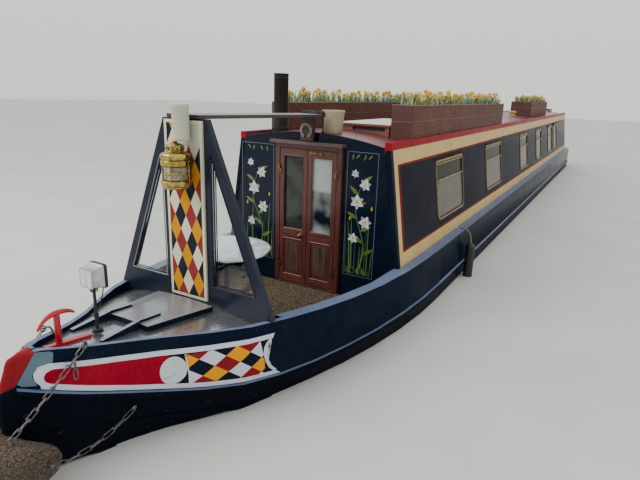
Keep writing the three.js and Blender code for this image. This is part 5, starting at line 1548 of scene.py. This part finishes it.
# %% [markdown]
# ## The horseshoe on the block
# A horseshoe is a flat bar, wide and thin, bent to a U, so a flattened bar along an arc gives it.

# %% Horseshoe
SHOE_SECTION = [(-0.011, 0.0002), (0.011, 0.0002), (0.011, 0.006), (0.003, 0.008), (0, 0.0055),
                (-0.003, 0.008), (-0.011, 0.006)]


def make_horseshoe():
    """A U of flat bar with its nail groove, on the front of the block under the plank."""
    bm = bmesh.new()
    middle = Vector((0.0585, -0.006, 2.28))
    rings = []
    for i in range(25):
        angle = radians(-62 + 304 * i / 24)
        pinch = 1 - 0.18 * (abs(i - 12) / 12) ** 3
        centre = Vector((0, 0.052 * pinch * cos(angle), 0.058 * sin(angle)))
        spoke = centre.normalized()
        section = [middle + centre + spoke * u + Vector((w, 0, 0)) for u, w in SHOE_SECTION]
        rings.append(closed_loop(bm, section))
    skinned(bm, rings)
    piece("horseshoe", bm, GALVANISED, smooth=40)


make_horseshoe()

# %% [markdown]
# ## Planters
# The troughs are stained boards in two tiers, with a thin pale bead between the tiers and round the
# rim. They are modelled board by board, because shadow gaps tell a trough from a block.

# %% Stained boards
BOARD_STAIN = timber("stained_trough_boards", "#6b4639", "#452a22", "X", 0.5, 8 * MM, 0.0, "#7a5948",
                     Specular_IOR_Level=0.1)
END_STAIN = timber("stained_trough_ends", "#57271f", "#371712", "Y", 0.5, 8 * MM, 0.0, "#653a30")
PALE_BEAD = timber("pale_bead_strip", "#8f8074", "#6a5c52", "X", 0.5, 8 * MM, 0.0, "#9c8f83")
ROOF_CAMBER, ROOF_LOW, ROOF_HALF = 0.1, 2.167, 0.782


def roof_at(y):
    """The height of the roof at a distance from its middle."""
    return ROOF_LOW + ROOF_CAMBER * (1 - (y / ROOF_HALF) ** 2)


def soil():
    """Damp potting soil with pale flecks."""
    made = Finish("potting_soil", Roughness=0.95)
    crumbs = made.patches(9 * MM, 0.4, 0.65, 4.0)
    made.tint(crumbs, "#1f1711", "#4a382a")
    made.relief(crumbs, 5 * MM)
    return made.made


SOIL = soil()
PLANTERS = {
    "planter_port": {"aft": -4.55, "fore": -0.54, "y": (0.545, 0.758), "foot": 2.2253, "high": 0.3},
    "planter_starboard": {"aft": -4.6, "fore": -0.48, "y": (-0.758, -0.545), "foot": 2.2253, "high": 0.28},
    "planter_aft": {"aft": -10.9, "fore": -8.35, "y": (0.17, 0.6), "foot": 2.2623, "high": 0.28},
}
BOARD_LONG = 1.4
TIER, BOARD_THICK, SHADOW_GAP, TROUGH_FLOOR = 0.148, 0.022, 0.007, 0.04


def trough_foot(y, foot):
    """How low a trough's boards reach: to the rail where they stand on it, or to the roof."""
    return foot if abs(y) > RAIL_IN else roof_at(y) + 2 * MM


def end_board(bm, x, inward, y, foot, high):
    """The lower board of a trough's end, its foot cut to the roof's camber and the rail."""
    steps = [side * (RAIL_IN + step) for side in (-1, 1) for step in (-2 * MM, 2 * MM)
             if y[0] < side * RAIL_IN < y[1]]
    edges = sorted(along(y[0] + 0.001, y[1] - 0.001, 6) + steps)
    outline = [(x, place, trough_foot(place, foot)) for place in edges]
    face = flat_sheet(bm, outline + [(x, edges[-1], high), (x, edges[0], high)], 1)
    pulled(bm, [face], (inward * BOARD_THICK, 0, 0))


def make_planter(node, aft, fore, y, foot, high):
    """Boards in two tiers, end boards, the beads, corner posts and the soil."""
    bm = bmesh.new()
    low_y, high_y = y
    rim = foot + high
    lengths = along(aft, fore, round((fore - aft) / BOARD_LONG))
    for face_y, inward in ((low_y, 1), (high_y, -1)):
        near, far = sorted((face_y, face_y + inward * BOARD_THICK))
        for a, b in zip(lengths, lengths[1:]):
            a, b = a + SHADOW_GAP / 2, b - SHADOW_GAP / 2
            block(bm, (a, near, trough_foot(face_y, foot)), (b, far, foot + TIER - 0.002))
            block(bm, (a, near, foot + TIER + 0.006), (b, far, rim - 0.007))
    for x, inward in ((aft - 0.0004, 1), (fore + 0.0004, -1)):
        end_board(bm, x, inward, y, foot, foot + TIER - 0.002)
        near, far = sorted((x, x + inward * BOARD_THICK))
        block(bm, (near, low_y + 0.001, foot + TIER + 0.006), (far, high_y - 0.001, rim - 0.007), 1)
    for z_low, z_high, out in ((foot + TIER - 0.001, foot + TIER + 0.005, -0.003), (rim - 0.007, rim, 0.0)):
        block(bm, (aft - out, low_y - out, z_low), (fore + out, low_y + 0.016, z_high), 2)
        block(bm, (aft - out, high_y - 0.016, z_low), (fore + out, high_y + out, z_high), 2)
        block(bm, (aft - out, low_y, z_low), (aft + 0.016, high_y, z_high), 2)
        block(bm, (fore - 0.016, low_y, z_low), (fore + out, high_y, z_high), 2)
    backs = [(x, 0.02) for x in lengths[1:-1]] + [(aft + 0.035, 0.012), (fore - 0.035, 0.012)]
    for x, half in backs:
        for near in (low_y + 0.023, high_y - 0.043):
            block(bm, (x - half, near, foot + 0.004), (x + half, near + 0.02, rim - 0.02), 3)
    finishes = [BOARD_STAIN, END_STAIN, PALE_BEAD, SOIL]
    piece(node + "_boards", bm, finishes, node, 1.5 * MM)
    make_soil(node, aft, fore, y, foot, rim)
    return rim


def make_soil(node, aft, fore, y, foot, rim):
    """A bed of soil with an uneven top."""
    rng = random.Random(len(node))
    bm = bmesh.new()
    steps = int((fore - aft) / 0.05)
    made = bmesh.ops.create_grid(bm, x_segments=steps, y_segments=6, size=0.5)["verts"]
    middle = Vector(((fore + aft) / 2, (y[0] + y[1]) / 2, rim - 0.045))
    for vert in made:
        place = (vert.co.x * (fore - aft - 0.05), vert.co.y * (y[1] - y[0] - 0.05), rng.uniform(-0.008, 0.01))
        vert.co = middle + Vector(place)
    for vert in pulled(bm, list(bm.faces), (0, 0, 0)):
        vert.co.z = foot + TROUGH_FLOOR
    piece(node + "_soil", bm, SOIL, smooth=60)


RIMS = {node: make_planter(node, **row) for node, row in PLANTERS.items()}

# %% [markdown]
# ## Spring flowers
# The troughs hold daffodils among blue-green blades. A blade is a folded ribbon that leans over, and
# a daffodil is six petals and a trumpet on a stalk. The random is seeded, so each run is the same.

# %% Blades and blooms
BLADE = {"wide": 0.019, "low": 0.08, "high": 0.185, "apart": 0.0105}
BLOOM = {"apart": 0.085, "petal": 0.038, "trumpet": 0.015}


def leaf_matter(name, code, light):
    """Leaf tissue: long veins, a waxy sheen and light through it."""
    made = Finish(name, Roughness=0.45, Subsurface_Weight=0.1)
    made.tint(made.patches(70 * MM, 0.3, 0.7), code, light)
    made.relief(made.noise(3 * MM), 0.3 * MM)
    return made.made


BLADE_GREEN = leaf_matter("daffodil_blade_green", "#5b6f38", "#9aa65e")
BLADE_BLUE = leaf_matter("blue_green_blade", "#5b7a62", "#8da58a")
DRY_BLADE = leaf_matter("dry_straw_blade", "#8a7a4a", "#b3a06a")
PETAL_GOLD = leaf_matter("daffodil_petal", "#e3c04a", "#ecd36c")
TRUMPET = leaf_matter("daffodil_trumpet", "#dcab2c", "#e6bc40")


def grow_blade(bm, root, height, lean, heading, width, finish):
    """One ribbon: its root, its height, how far its tip leans and which way."""
    steps = 4
    way = Vector((cos(heading), sin(heading), 0))
    across = Vector((-way.y, way.x, 0))
    last = None
    for i in range(steps + 1):
        part = i / steps
        rise = height * (part - 0.18 * lean / height * part ** 3)
        at = root + way * lean * part ** 2 + Vector((0, 0, rise))
        half = width / 2 * (1 - part ** 3 * 0.9)
        row = [bm.verts.new(at + across * half * k - way * (0.3 * half if k == 0 else 0)) for k in (-1, 0, 1)]
        if last:
            for k in (0, 1):
                bm.faces.new((last[k], last[k + 1], row[k + 1], row[k])).material_index = finish
        last = row


def grow_bloom(bm, root, height, heading, tilt):
    """A daffodil: stalk, six petals and a trumpet that looks a little down."""
    way = Vector((cos(heading), sin(heading), tilt)).normalized()
    head = root + height * Vector((0.09 * cos(heading), 0.09 * sin(heading), 1))
    grow_blade(bm, root, height, (head - root).xy.length, heading, 0.006, 0)
    right = way.cross(Vector((0, 0, 1))).normalized()
    up = right.cross(way)
    def spoke(angle):
        return right * cos(angle) + up * sin(angle)
    for i in range(6):
        angle = tau * i / 6 + 0.3
        tip = spoke(angle) * BLOOM["petal"]
        side = spoke(angle + pi / 2) * BLOOM["petal"] * 0.34
        middle = head + tip * 0.55 + way * 0.002
        flat_sheet(bm, [head, middle + side, head + tip, middle - side], 3)
    rings = []
    for depth, radius in ((0, 0.6), (0.016, 0.8), (0.02, 1.1)):
        reach = BLOOM["trumpet"] * radius
        rings.append([bm.verts.new(head + way * depth + spoke(tau * k / 8) * reach) for k in range(8)])
    for a, b in zip(rings, rings[1:]):
        for k in range(8):
            bm.faces.new((a[k], a[(k + 1) % 8], b[(k + 1) % 8], b[k])).material_index = 4


def make_plants(node, row, seed):
    """The plants of one trough: blades thickly set, and blooms among and above them."""
    rng = random.Random(seed)
    bm = bmesh.new()
    aft, fore, (low_y, high_y) = row["aft"], row["fore"], row["y"]
    ground = RIMS[node] - 0.04
    spread = 0.213 / (high_y - low_y)
    x = aft + 0.05
    while x < fore - 0.05:
        root = Vector((x, rng.uniform(low_y + 0.04, high_y - 0.04), ground))
        height = rng.uniform(BLADE["low"], BLADE["high"])
        far_aft = (x - aft) / (fore - aft) < 0.55
        finish = rng.choice((0, 1, 1) if far_aft else (0, 0, 1, 2))
        grow_blade(bm, root, height, rng.uniform(0.01, 0.09), rng.uniform(0, tau), BLADE["wide"], finish)
        x += BLADE["apart"] * rng.uniform(0.3, 1.1) * spread
    x = aft + 0.08
    while x < fore - 0.08:
        root = Vector((x, rng.uniform(low_y + 0.05, high_y - 0.05), ground))
        grow_bloom(bm, root, rng.uniform(0.1, 0.17), rng.uniform(-1.2, 1.4), rng.uniform(-0.25, 0.3))
        x += BLOOM["apart"] * rng.uniform(0.35, 1.5)
    finishes = [BLADE_GREEN, BLADE_BLUE, DRY_BLADE, PETAL_GOLD, TRUMPET]
    piece(node + "_plants", bm, finishes, smooth=60, tidy=False)


for seed, (node, row) in enumerate(PLANTERS.items(), 11):
    make_plants(node, row, seed)

# %% [markdown]
# ## The rest of the roof
# The low box has stained sides, a white top and a slot painted black as shade. The pot is unglazed
# stoneware, the chimney is black enamelled steel with a fine rust bloom, and the vent is brass.

# %% Box, pot, chimney and vent
BOX_TOP = gloss("enamel_box_top_white", "#cfcfc8", "#dadad4", 0.35, 0.5)
BOX_WOOD = timber("stained_box_sides", "#84523f", "#5a3226", "X", 0.4, 8 * MM, 0.0, "#8f6450")


def box_finish(face):
    """0 for the stained sides, 1 for the white top, 2 inside the slot, painted black as shade."""
    centre = face.calc_center_median()
    if -0.5805 < centre.x < -0.5601 and 0.144 < centre.y < 0.479 and 2.27 < centre.z < 2.304:
        return 2
    return 1 if face.normal.z > 0.5 and centre.z > 2.33 else 0


# The slot's inside is painted black as shade.
dressed("roof_box", [BOX_WOOD, BOX_TOP, RUBBER], 3 * MM, box_finish)


def stoneware():
    """Unglazed stoneware: buff, speckled, with throwing rings."""
    made = Finish("unglazed_stoneware", Roughness=0.8)
    made.tint(made.patches(7 * MM, 0.42, 0.7), "#b0a084", "#8d7d62")
    made.relief(made.wave(8.0, "Z", 1.0), 1.0 * MM)
    return made.made


def make_pot():
    """The pot with its thick rolled rim, soil inside."""
    at = Vector((-0.18, 0.131, roof_at(0.049)))
    bm = bmesh.new()
    outer = [(0, -0.008), (0.082, -0.008), (0.084, -0.004), (0.09, 0.06), (0.0995, 0.158), (0.101, 0.166),
             (0.1035, 0.17), (0.1045, 0.175), (0.1045, 0.189), (0.1025, 0.193), (0.0965, 0.193),
             (0.094, 0.187), (0.093, 0.16), (0.092, 0.15), (0, 0.155)]
    turned(bm, outer, at, steps=48)
    for face in bm.faces:
        centre = face.calc_center_median()
        if (centre.xy - at.xy).length < 0.093 and centre.z > at.z + 0.1:
            face.material_index = 1
    for vert in bm.verts:
        vert.co.z = max(vert.co.z, roof_at(vert.co.y) + 0.5 * MM)
    piece("pot_thrown", bm, [stoneware(), SOIL], "pot", smooth=40)


make_pot()


BOLT = {"radius1": 0.006, "radius2": 0.006, "depth": 0.006}


def make_chimney():
    """A steel stack: collar with bolts, body, a raised band and a rolled rim."""
    x, y, low = -0.27, -0.5, roof_at(0.6)
    bm = bmesh.new()
    profile = [(0.0605, low), (0.088, low), (0.088, low + 0.058), (0.084, low + 0.064), (0.074, low + 0.068),
               (0.07, low + 0.074), (0.07, 2.716), (0.0712, 2.718), (0.0712, 2.73), (0.07, 2.732),
               (0.07, 2.756), (0.0712, 2.759), (0.0718, 2.765), (0.071, 2.771), (0.068, 2.7725),
               (0.064, 2.772), (0.0605, 2.768), (0.0605, low)]
    turned(bm, profile, Vector((x, y, 0)), steps=40)
    for i, place in enumerate(half_round(x, y, 0.0885, 0.0885, 30, 300, 5)):
        turn = Matrix.Rotation(tau * (i + 0.5) / 6, 4, "Z") @ Matrix.Rotation(radians(90), 4, "Y")
        at = Matrix.Translation((*place, low + 0.036)) @ turn
        bmesh.ops.create_cone(bm, cap_ends=True, segments=6, matrix=at, **BOLT)
    piece("chimney_rolled", bm, CHIMNEY_BLACK, "chimney", 0.0, 40)


CHIMNEY_BLACK = gloss("stove_black_enamel", "#181614", "#29231e", 0.5, 0.4, 0.3 * MM, 0.1)
make_chimney()
dressed("mushroom_vent", POLISHED_BRASS, 1.5 * MM, smooth=50)

# %% [markdown]
# ## Well deck and cabin floor
# The well has a coir mat with a mottled weave of brown and gold. The cabin floor is varnished ply.
# The table is a cast column with a white enamelled top.

# %% Mat, ply and table
def coir_mat():
    """A tufted mat: flecks of gold and brown, a few dark, with a deep pile."""
    made = Finish("tufted_coir_mat", Roughness=0.95)
    fleck = made.patches(16 * MM, 0.36, 0.62, 5.0)
    tone = made.blend(fleck, "#2e2318", "#715f47")
    made.tint(made.patches(26 * MM, 0.58, 0.66, 2.0), tone, "#1d1611")
    made.relief(fleck, 5 * MM)
    return made.made


FLOOR_PLY = timber("varnished_floor_ply", "#a98a62", "#866843", "X", 0.35, 40 * MM, 0.3, "#b39a74")
dressed("well_floor", coir_mat(), 2 * MM)
dressed("cabin_floor", FLOOR_PLY, 2 * MM)


def table_top():
    """White enamel with faint blue-grey clouds."""
    made = Finish("enamelled_table_top", Coat_Weight=1.0, Coat_Roughness=0.04)
    cloud = made.patches(70 * MM, 0.42, 0.66, 4.0)
    made.tint(cloud, "#f3f2f6", "#c3c6d8")
    made.rough(cloud, 0.12, 0.3)
    return made.made


def make_table():
    """A turned iron column and foot under a white top with a steel edge."""
    at = Vector((1.13, -0.04, 0.798))
    bm = bmesh.new()
    column = [(0, 0.0003), (0.185, 0.0003), (0.19, 0.004), (0.188, 0.012), (0.15, 0.016), (0.06, 0.026),
              (0.036, 0.04), (0.028, 0.06), (0.032, 0.068), (0.026, 0.078), (0.02, 0.11), (0.02, 0.56),
              (0.026, 0.572), (0.022, 0.584), (0.034, 0.604), (0.062, 0.628), (0.1, 0.636), (0.102, 0.6402),
              (0, 0.6402)]
    turned(bm, column, at, steps=40)
    top = [(0, 0.6404), (0.328, 0.6404), (0.334, 0.642), (0.3375, 0.646), (0.338, 0.652), (0.3365, 0.658),
           (0.333, 0.6612), (0.328, 0.662), (0, 0.662)]
    turned(bm, top, at, steps=72, finish=1)
    for face in bm.faces:
        reach = (face.calc_center_median().xy - at.xy).length
        if reach > 0.3335 and face.material_index == 1 and face.normal.z < 0.8:
            face.material_index = 2
    finishes = [CHIMNEY_BLACK, table_top(), STAINLESS]
    piece("table_enamelled", bm, finishes, "table", smooth=40)


make_table()

# %% [markdown]
# ## Rope, coir and chain
# A rope is three strands that wind round each other. The bow fender is knotted coir, whose weave is
# true geometry: two families of waves round and along it. A chain's links are ovals of round bar,
# every other one turned.

# %% Side fender
def rope(bm, path, radius, finish, lay=0.034):
    """Three strands along a path; lay is how far one strand goes in a turn."""
    route = smooth_route(path, max(24, int(40 * len(path))))
    strand = radius * 0.54
    for k in range(3):
        points, travelled = [], 0.0
        for i, at in enumerate(route):
            ahead = (route[min(i + 1, len(route) - 1)] - route[max(i - 1, 0)]).normalized()
            side = ahead.cross(Vector((1, 0, 0.2))).normalized()
            lift = ahead.cross(side)
            angle = tau * (travelled / lay + k / 3)
            points.append(at + (side * cos(angle) + lift * sin(angle)) * radius * 0.5)
            if i + 1 < len(route):
                travelled += (route[i + 1] - at).length
        round_bar(bm, points, strand, 8, finish=finish, curved=False)


def rope_fibre():
    """Laid rope fibre: fine twisted threads with dirt in them."""
    made = Finish("laid_rope_straw", Roughness=0.8, Sheen_Weight=0.2)
    thread = made.patches(5 * MM, 0.35, 0.65, 4.0)
    made.tint(thread, "#5f5533", "#a39660")
    made.relief(thread, 1.0 * MM)
    return made.made


FENDER_RUBBER = gloss("moulded_fender_rubber", "#131416", "#232426", 0.5, 0.5, 0.3 * MM)


def make_side_fender():
    """A moulded fender with ribs and end eyes, on a rope over the gunwale."""
    x, y = -1.79, 1.1163
    bm = bmesh.new()
    body = [(0, 0.48), (0.02, 0.481), (0.036, 0.486), (0.048, 0.498), (0.0535, 0.516), (0.054, 0.53)]
    body += [(0.054 - 0.003 * (i % 2), 0.545 + 0.385 * i / 12) for i in range(13)]
    body += [(0.054, 0.94), (0.0525, 0.955), (0.046, 0.972), (0.034, 0.984), (0.018, 0.99), (0.014, 0.9985),
             (0, 1.000)]
    turned(bm, body, Vector((x, y, 0)), steps=32)
    path = [(y, 0.985), (y - 0.004, 1.04), (y - 0.02, 1.1), (1.06, 1.146), (1.03, 1.1612), (1.000, 1.1612)]
    rope(bm, [(x, *place) for place in path], 0.0075, 1)
    for at, size in (((x, 1.000, 1.163), 0.016), ((x, y, 0.995), 0.014)):
        knot = bmesh.ops.create_icosphere(bm, subdivisions=2, radius=size)["verts"]
        bmesh.ops.scale(bm, verts=knot, vec=(1.0, 1.1, 0.7))
        bmesh.ops.translate(bm, verts=knot, vec=at)
        recolour(knot, 1)
    piece("side_fender_moulded", bm, [FENDER_RUBBER, rope_fibre()], "side_fender", smooth=50)


make_side_fender()

# %% Bow fender
FENDER = {"x": 2.946, "z": 0.817, "half": 0.258, "radius": 0.119, "sweep": 0.105}


def coir():
    """Coir yarn: coarse brown fibres, darker and greener where it stays wet."""
    made = Finish("knotted_coir_yarn", Roughness=1.0)
    fibre = made.patches(9 * MM, 0.35, 0.65, 5.0)
    tone = made.blend(fibre, "#221b15", "#665747")
    made.tint(made.maths("MULTIPLY", made.patches(130 * MM, 0.45, 0.75), 0.45), tone, "#33342a")
    made.relief(fibre, 4 * MM)
    return made.made


def make_bow_fender():
    """A sausage bent round the stem, whose strands weave over and under each other."""
    bm = bmesh.new()
    around, rings = 96, []
    for part in along(-1, 1, 120):
        fullness = 0.5 + 0.5 * (1 - abs(part) ** 6) ** 0.5
        centre = Vector((FENDER["x"] - FENDER["sweep"] * part * part, part * FENDER["half"], FENDER["z"]))
        points = []
        for k in range(around):
            angle = tau * k / around
            u, v = part * 9.0, angle * 8 / tau
            over = sin(pi * (u + v)) * sin(pi * (u - v))
            lift = 0.0065 * (abs(over) ** 0.5 - 0.72)
            reach = FENDER["radius"] * fullness + lift - 0.001
            points.append(centre + Vector((reach * cos(angle), 0, reach * sin(angle))))
        rings.append(closed_loop(bm, points))
    skinned(bm, rings)
    piece("bow_fender_knotted", bm, coir(), "bow_fender", smooth=70)


make_bow_fender()

# %% Chains, eyes and staples
CHAIN_WIRE = 0.0034


def chain_link(bm, at, ahead, across, long, wide, wire):
    """One oval link of round bar."""
    points = []
    for k in range(16):
        angle = tau * k / 16
        u = (long / 2 - wide / 2) * (1 if cos(angle) > 0 else -1) + wide / 2 * cos(angle)
        points.append(at + ahead * u + across * wide / 2 * sin(angle))
    round_bar(bm, points, wire, 8, closed=True, curved=False)


def hang_chain(bm, start, end, sag, pitch, wire):
    """A chain from one point to another: a hanging curve of links, every other one turned."""
    start, end = Vector(start), Vector(end)
    middle = (start + end) / 2 - Vector((0, 0, sag))

    def at(t):
        return start * (1 - t) ** 2 + middle * 2 * t * (1 - t) + end * t * t

    length = sum((at((i + 1) / 40) - at(i / 40)).length for i in range(40))
    count = round(length / pitch)
    for i in range(count):
        t = (i + 0.5) / count
        ahead = (at(t + 0.01) - at(t - 0.01)).normalized()
        flat = Vector((-ahead.y, ahead.x, 0)).normalized()
        across = flat if i % 2 else ahead.cross(flat)
        turn = Matrix.Rotation(radians(22), 3, ahead)
        chain_link(bm, at(t), ahead, turn @ across, length / count + 4 * wire, 0.022, wire)
    return length


FENDER_TOP = (2.931, 0.12, 0.957)
FENDER_TIP = (2.841, 0.285, 0.82)
RING_AT = Vector((2.53, 0.176, 1.308))
PLATE_AT = Vector((2.328, 0.271, 0.853))
LOOSE_AT = Vector((2.594, 0.174, 1.245))


def make_chains(side):
    """The chains of one side, the deck staple, the hull's eye and the fender's own eyes."""
    bm = bmesh.new()
    upper = hang_chain(bm, RING_AT, FENDER_TOP, 0.025, 0.058, CHAIN_WIRE)
    lower = hang_chain(bm, PLATE_AT, FENDER_TIP, 0.095, 0.078, 0.75 * CHAIN_WIRE)
    round_bar(bm, [(2.5, 0.135, 1.27), (2.502, 0.139, 1.314), (2.516, 0.158, 1.322), RING_AT], 0.006, 12)
    round_bar(bm, [(2.292, 0.228, 0.838), PLATE_AT], 0.007, 12)
    round_bar(bm, [(2.931, 0.12, 0.835), (2.931, 0.12, 0.961)], 0.01, 12)
    round_bar(bm, [(2.841, 0.23, 0.82), (2.841, 0.288, 0.82)], 0.01, 12)
    for at, ahead in ((RING_AT, Vector((0, 0, 1))), (PLATE_AT, Vector((0, 0.5, 0.85)))):
        chain_link(bm, at, ahead, Vector((1, 0, 0)), 0.034, 0.03, 0.0042)
    for drop, turn in ((0.024, Vector((0.8, 0.6, 0))), (0.074, Vector((-0.6, 0.8, 0)))):
        at = LOOSE_AT - Vector((0, 0, drop))
        chain_link(bm, at, Vector((0, 0, -1)), turn, 0.062, 0.022, CHAIN_WIRE)
    bmesh.ops.scale(bm, verts=bm.verts, vec=(1, side, 1))
    name = "fender_chains_" + SIDES[side]
    piece(name, bm, RUSTY, "fender_chain_" + SIDES[side], smooth=60)
    print(name, "upper", round(upper, 2), "m, lower", round(lower, 2), "m")


for side in SIDES:
    make_chains(side)

# %% [markdown]
# ## Stern
# The rudder wears blacking below the water, its swan neck is painted and the tiller's end is brass.
# The propeller is cast bronze, and the engine is one plain painted block.

# %% Back bulkhead, rudder, propeller and engine
dressed("cabin_back", BULKHEAD, 2 * MM)


def rudder_finish(face):
    """0 under water, 1 for the painted swan neck, 2 for the brass end."""
    centre = face.calc_center_median()
    if centre.x > -14.18 and centre.z > 1.72:
        return 2
    return 1 if centre.z > 1.15 else 0


dressed("rudder", [HULL_PAINT, SIGNAL, POLISHED_BRASS], 2 * MM, rudder_finish, smooth=50)
dressed("propeller", BRONZE, 2 * MM)
ENGINE_GREEN = gloss("engine_enamel_green", "#2f4438", "#3a5244", 0.35, 0.3)
dressed("engine", ENGINE_GREEN, 6 * MM)

# %% [markdown]
# ## Floor and light
# A pale floor lies at the water's height, cut out along the hull. The light is a plain overcast: a
# pale sky, brighter overhead, and one broad lamp that gives the gloss its long highlights.

# %% The floor, with an opening where the boat floats
FLOOR_HALF = 60.0
INSET = 0.022


def waterline_outline():
    """The hull's outline at the water, a little inside its plates."""
    skin = skin_of("fore_end", "hull_side_port", "stern")
    stations = along(2.75, -0.9, 26) + [-6.0, -11.9] + along(-12.1, -14.8, 14)
    port = []
    for x in stations:
        hit = skin.ray_cast(Vector((x, 3.0, WATERLINE)), Vector((0, -1, 0)))[0]
        if hit and hit.y > INSET * 2:
            port.append((x, hit.y - INSET))
    return port + [(x, -y) for x, y in reversed(port)]


def make_floor():
    """A flat floor round the hull's opening."""
    bm = bmesh.new()
    corners = [(x * FLOOR_HALF, y * FLOOR_HALF) for x, y in ((-1, -1), (1, -1), (1, 1), (-1, 1))]
    rims = []
    for outline in (corners, waterline_outline()):
        rims += closed_loop(bm, [(x, y, WATERLINE) for x, y in outline])
    bmesh.ops.triangle_fill(bm, use_beauty=True, use_dissolve=False, edges=rims)
    for face in bm.faces:
        if face.normal.z < 0:
            face.normal_flip()
    mesh = bpy.data.meshes.new("floor")
    bm.to_mesh(mesh)
    bm.free()
    made = Finish("painted_screed", Roughness=0.75)
    made.tint(made.patches(900 * MM, 0.3, 0.7), "#c4c2bb", "#cdcbc4")
    mesh.materials.append(made.made)
    floor = bpy.data.objects.new("floor", mesh)
    bpy.context.scene.collection.objects.link(floor)


make_floor()

# %% Sky and lamp
def make_light():
    """A pale sky that is brighter overhead, and one broad lamp from off the bow."""
    world = bpy.data.worlds.new("overcast")
    world.use_nodes = True
    bpy.context.scene.world = world
    tree = world.node_tree
    tree.nodes.clear()
    way = add(tree, "TexCoord").outputs["Generated"]
    height = add(tree, "SeparateXYZ", {"Vector": way}).outputs["Z"]
    part = add(tree, "MapRange", {"Value": height, "From Min": -0.05, "From Max": 0.7}).outputs["Result"]
    sky = blend_colours(tree, part, "#d6d6d2", "#eef1f6")
    back = add(tree, "Background", {"Color": sky, "Strength": 1.5})
    add(tree, "OutputWorld", {"Surface": back.outputs[0]})
    lamp = bpy.data.lights.new("overcast_lamp", "AREA")
    lamp.shape = "RECTANGLE"
    lamp.size, lamp.size_y = 9.0, 6.0
    lamp.energy = 900
    lamp.color = (1.0, 0.97, 0.92)
    holder = bpy.data.objects.new("overcast_lamp", lamp)
    holder.location = (7.0, -6.0, 9.0)
    aim = Vector((0, 0, 1.2)) - holder.location
    holder.rotation_euler = aim.to_track_quat("-Z", "Y").to_euler()
    bpy.context.scene.collection.objects.link(holder)


make_light()
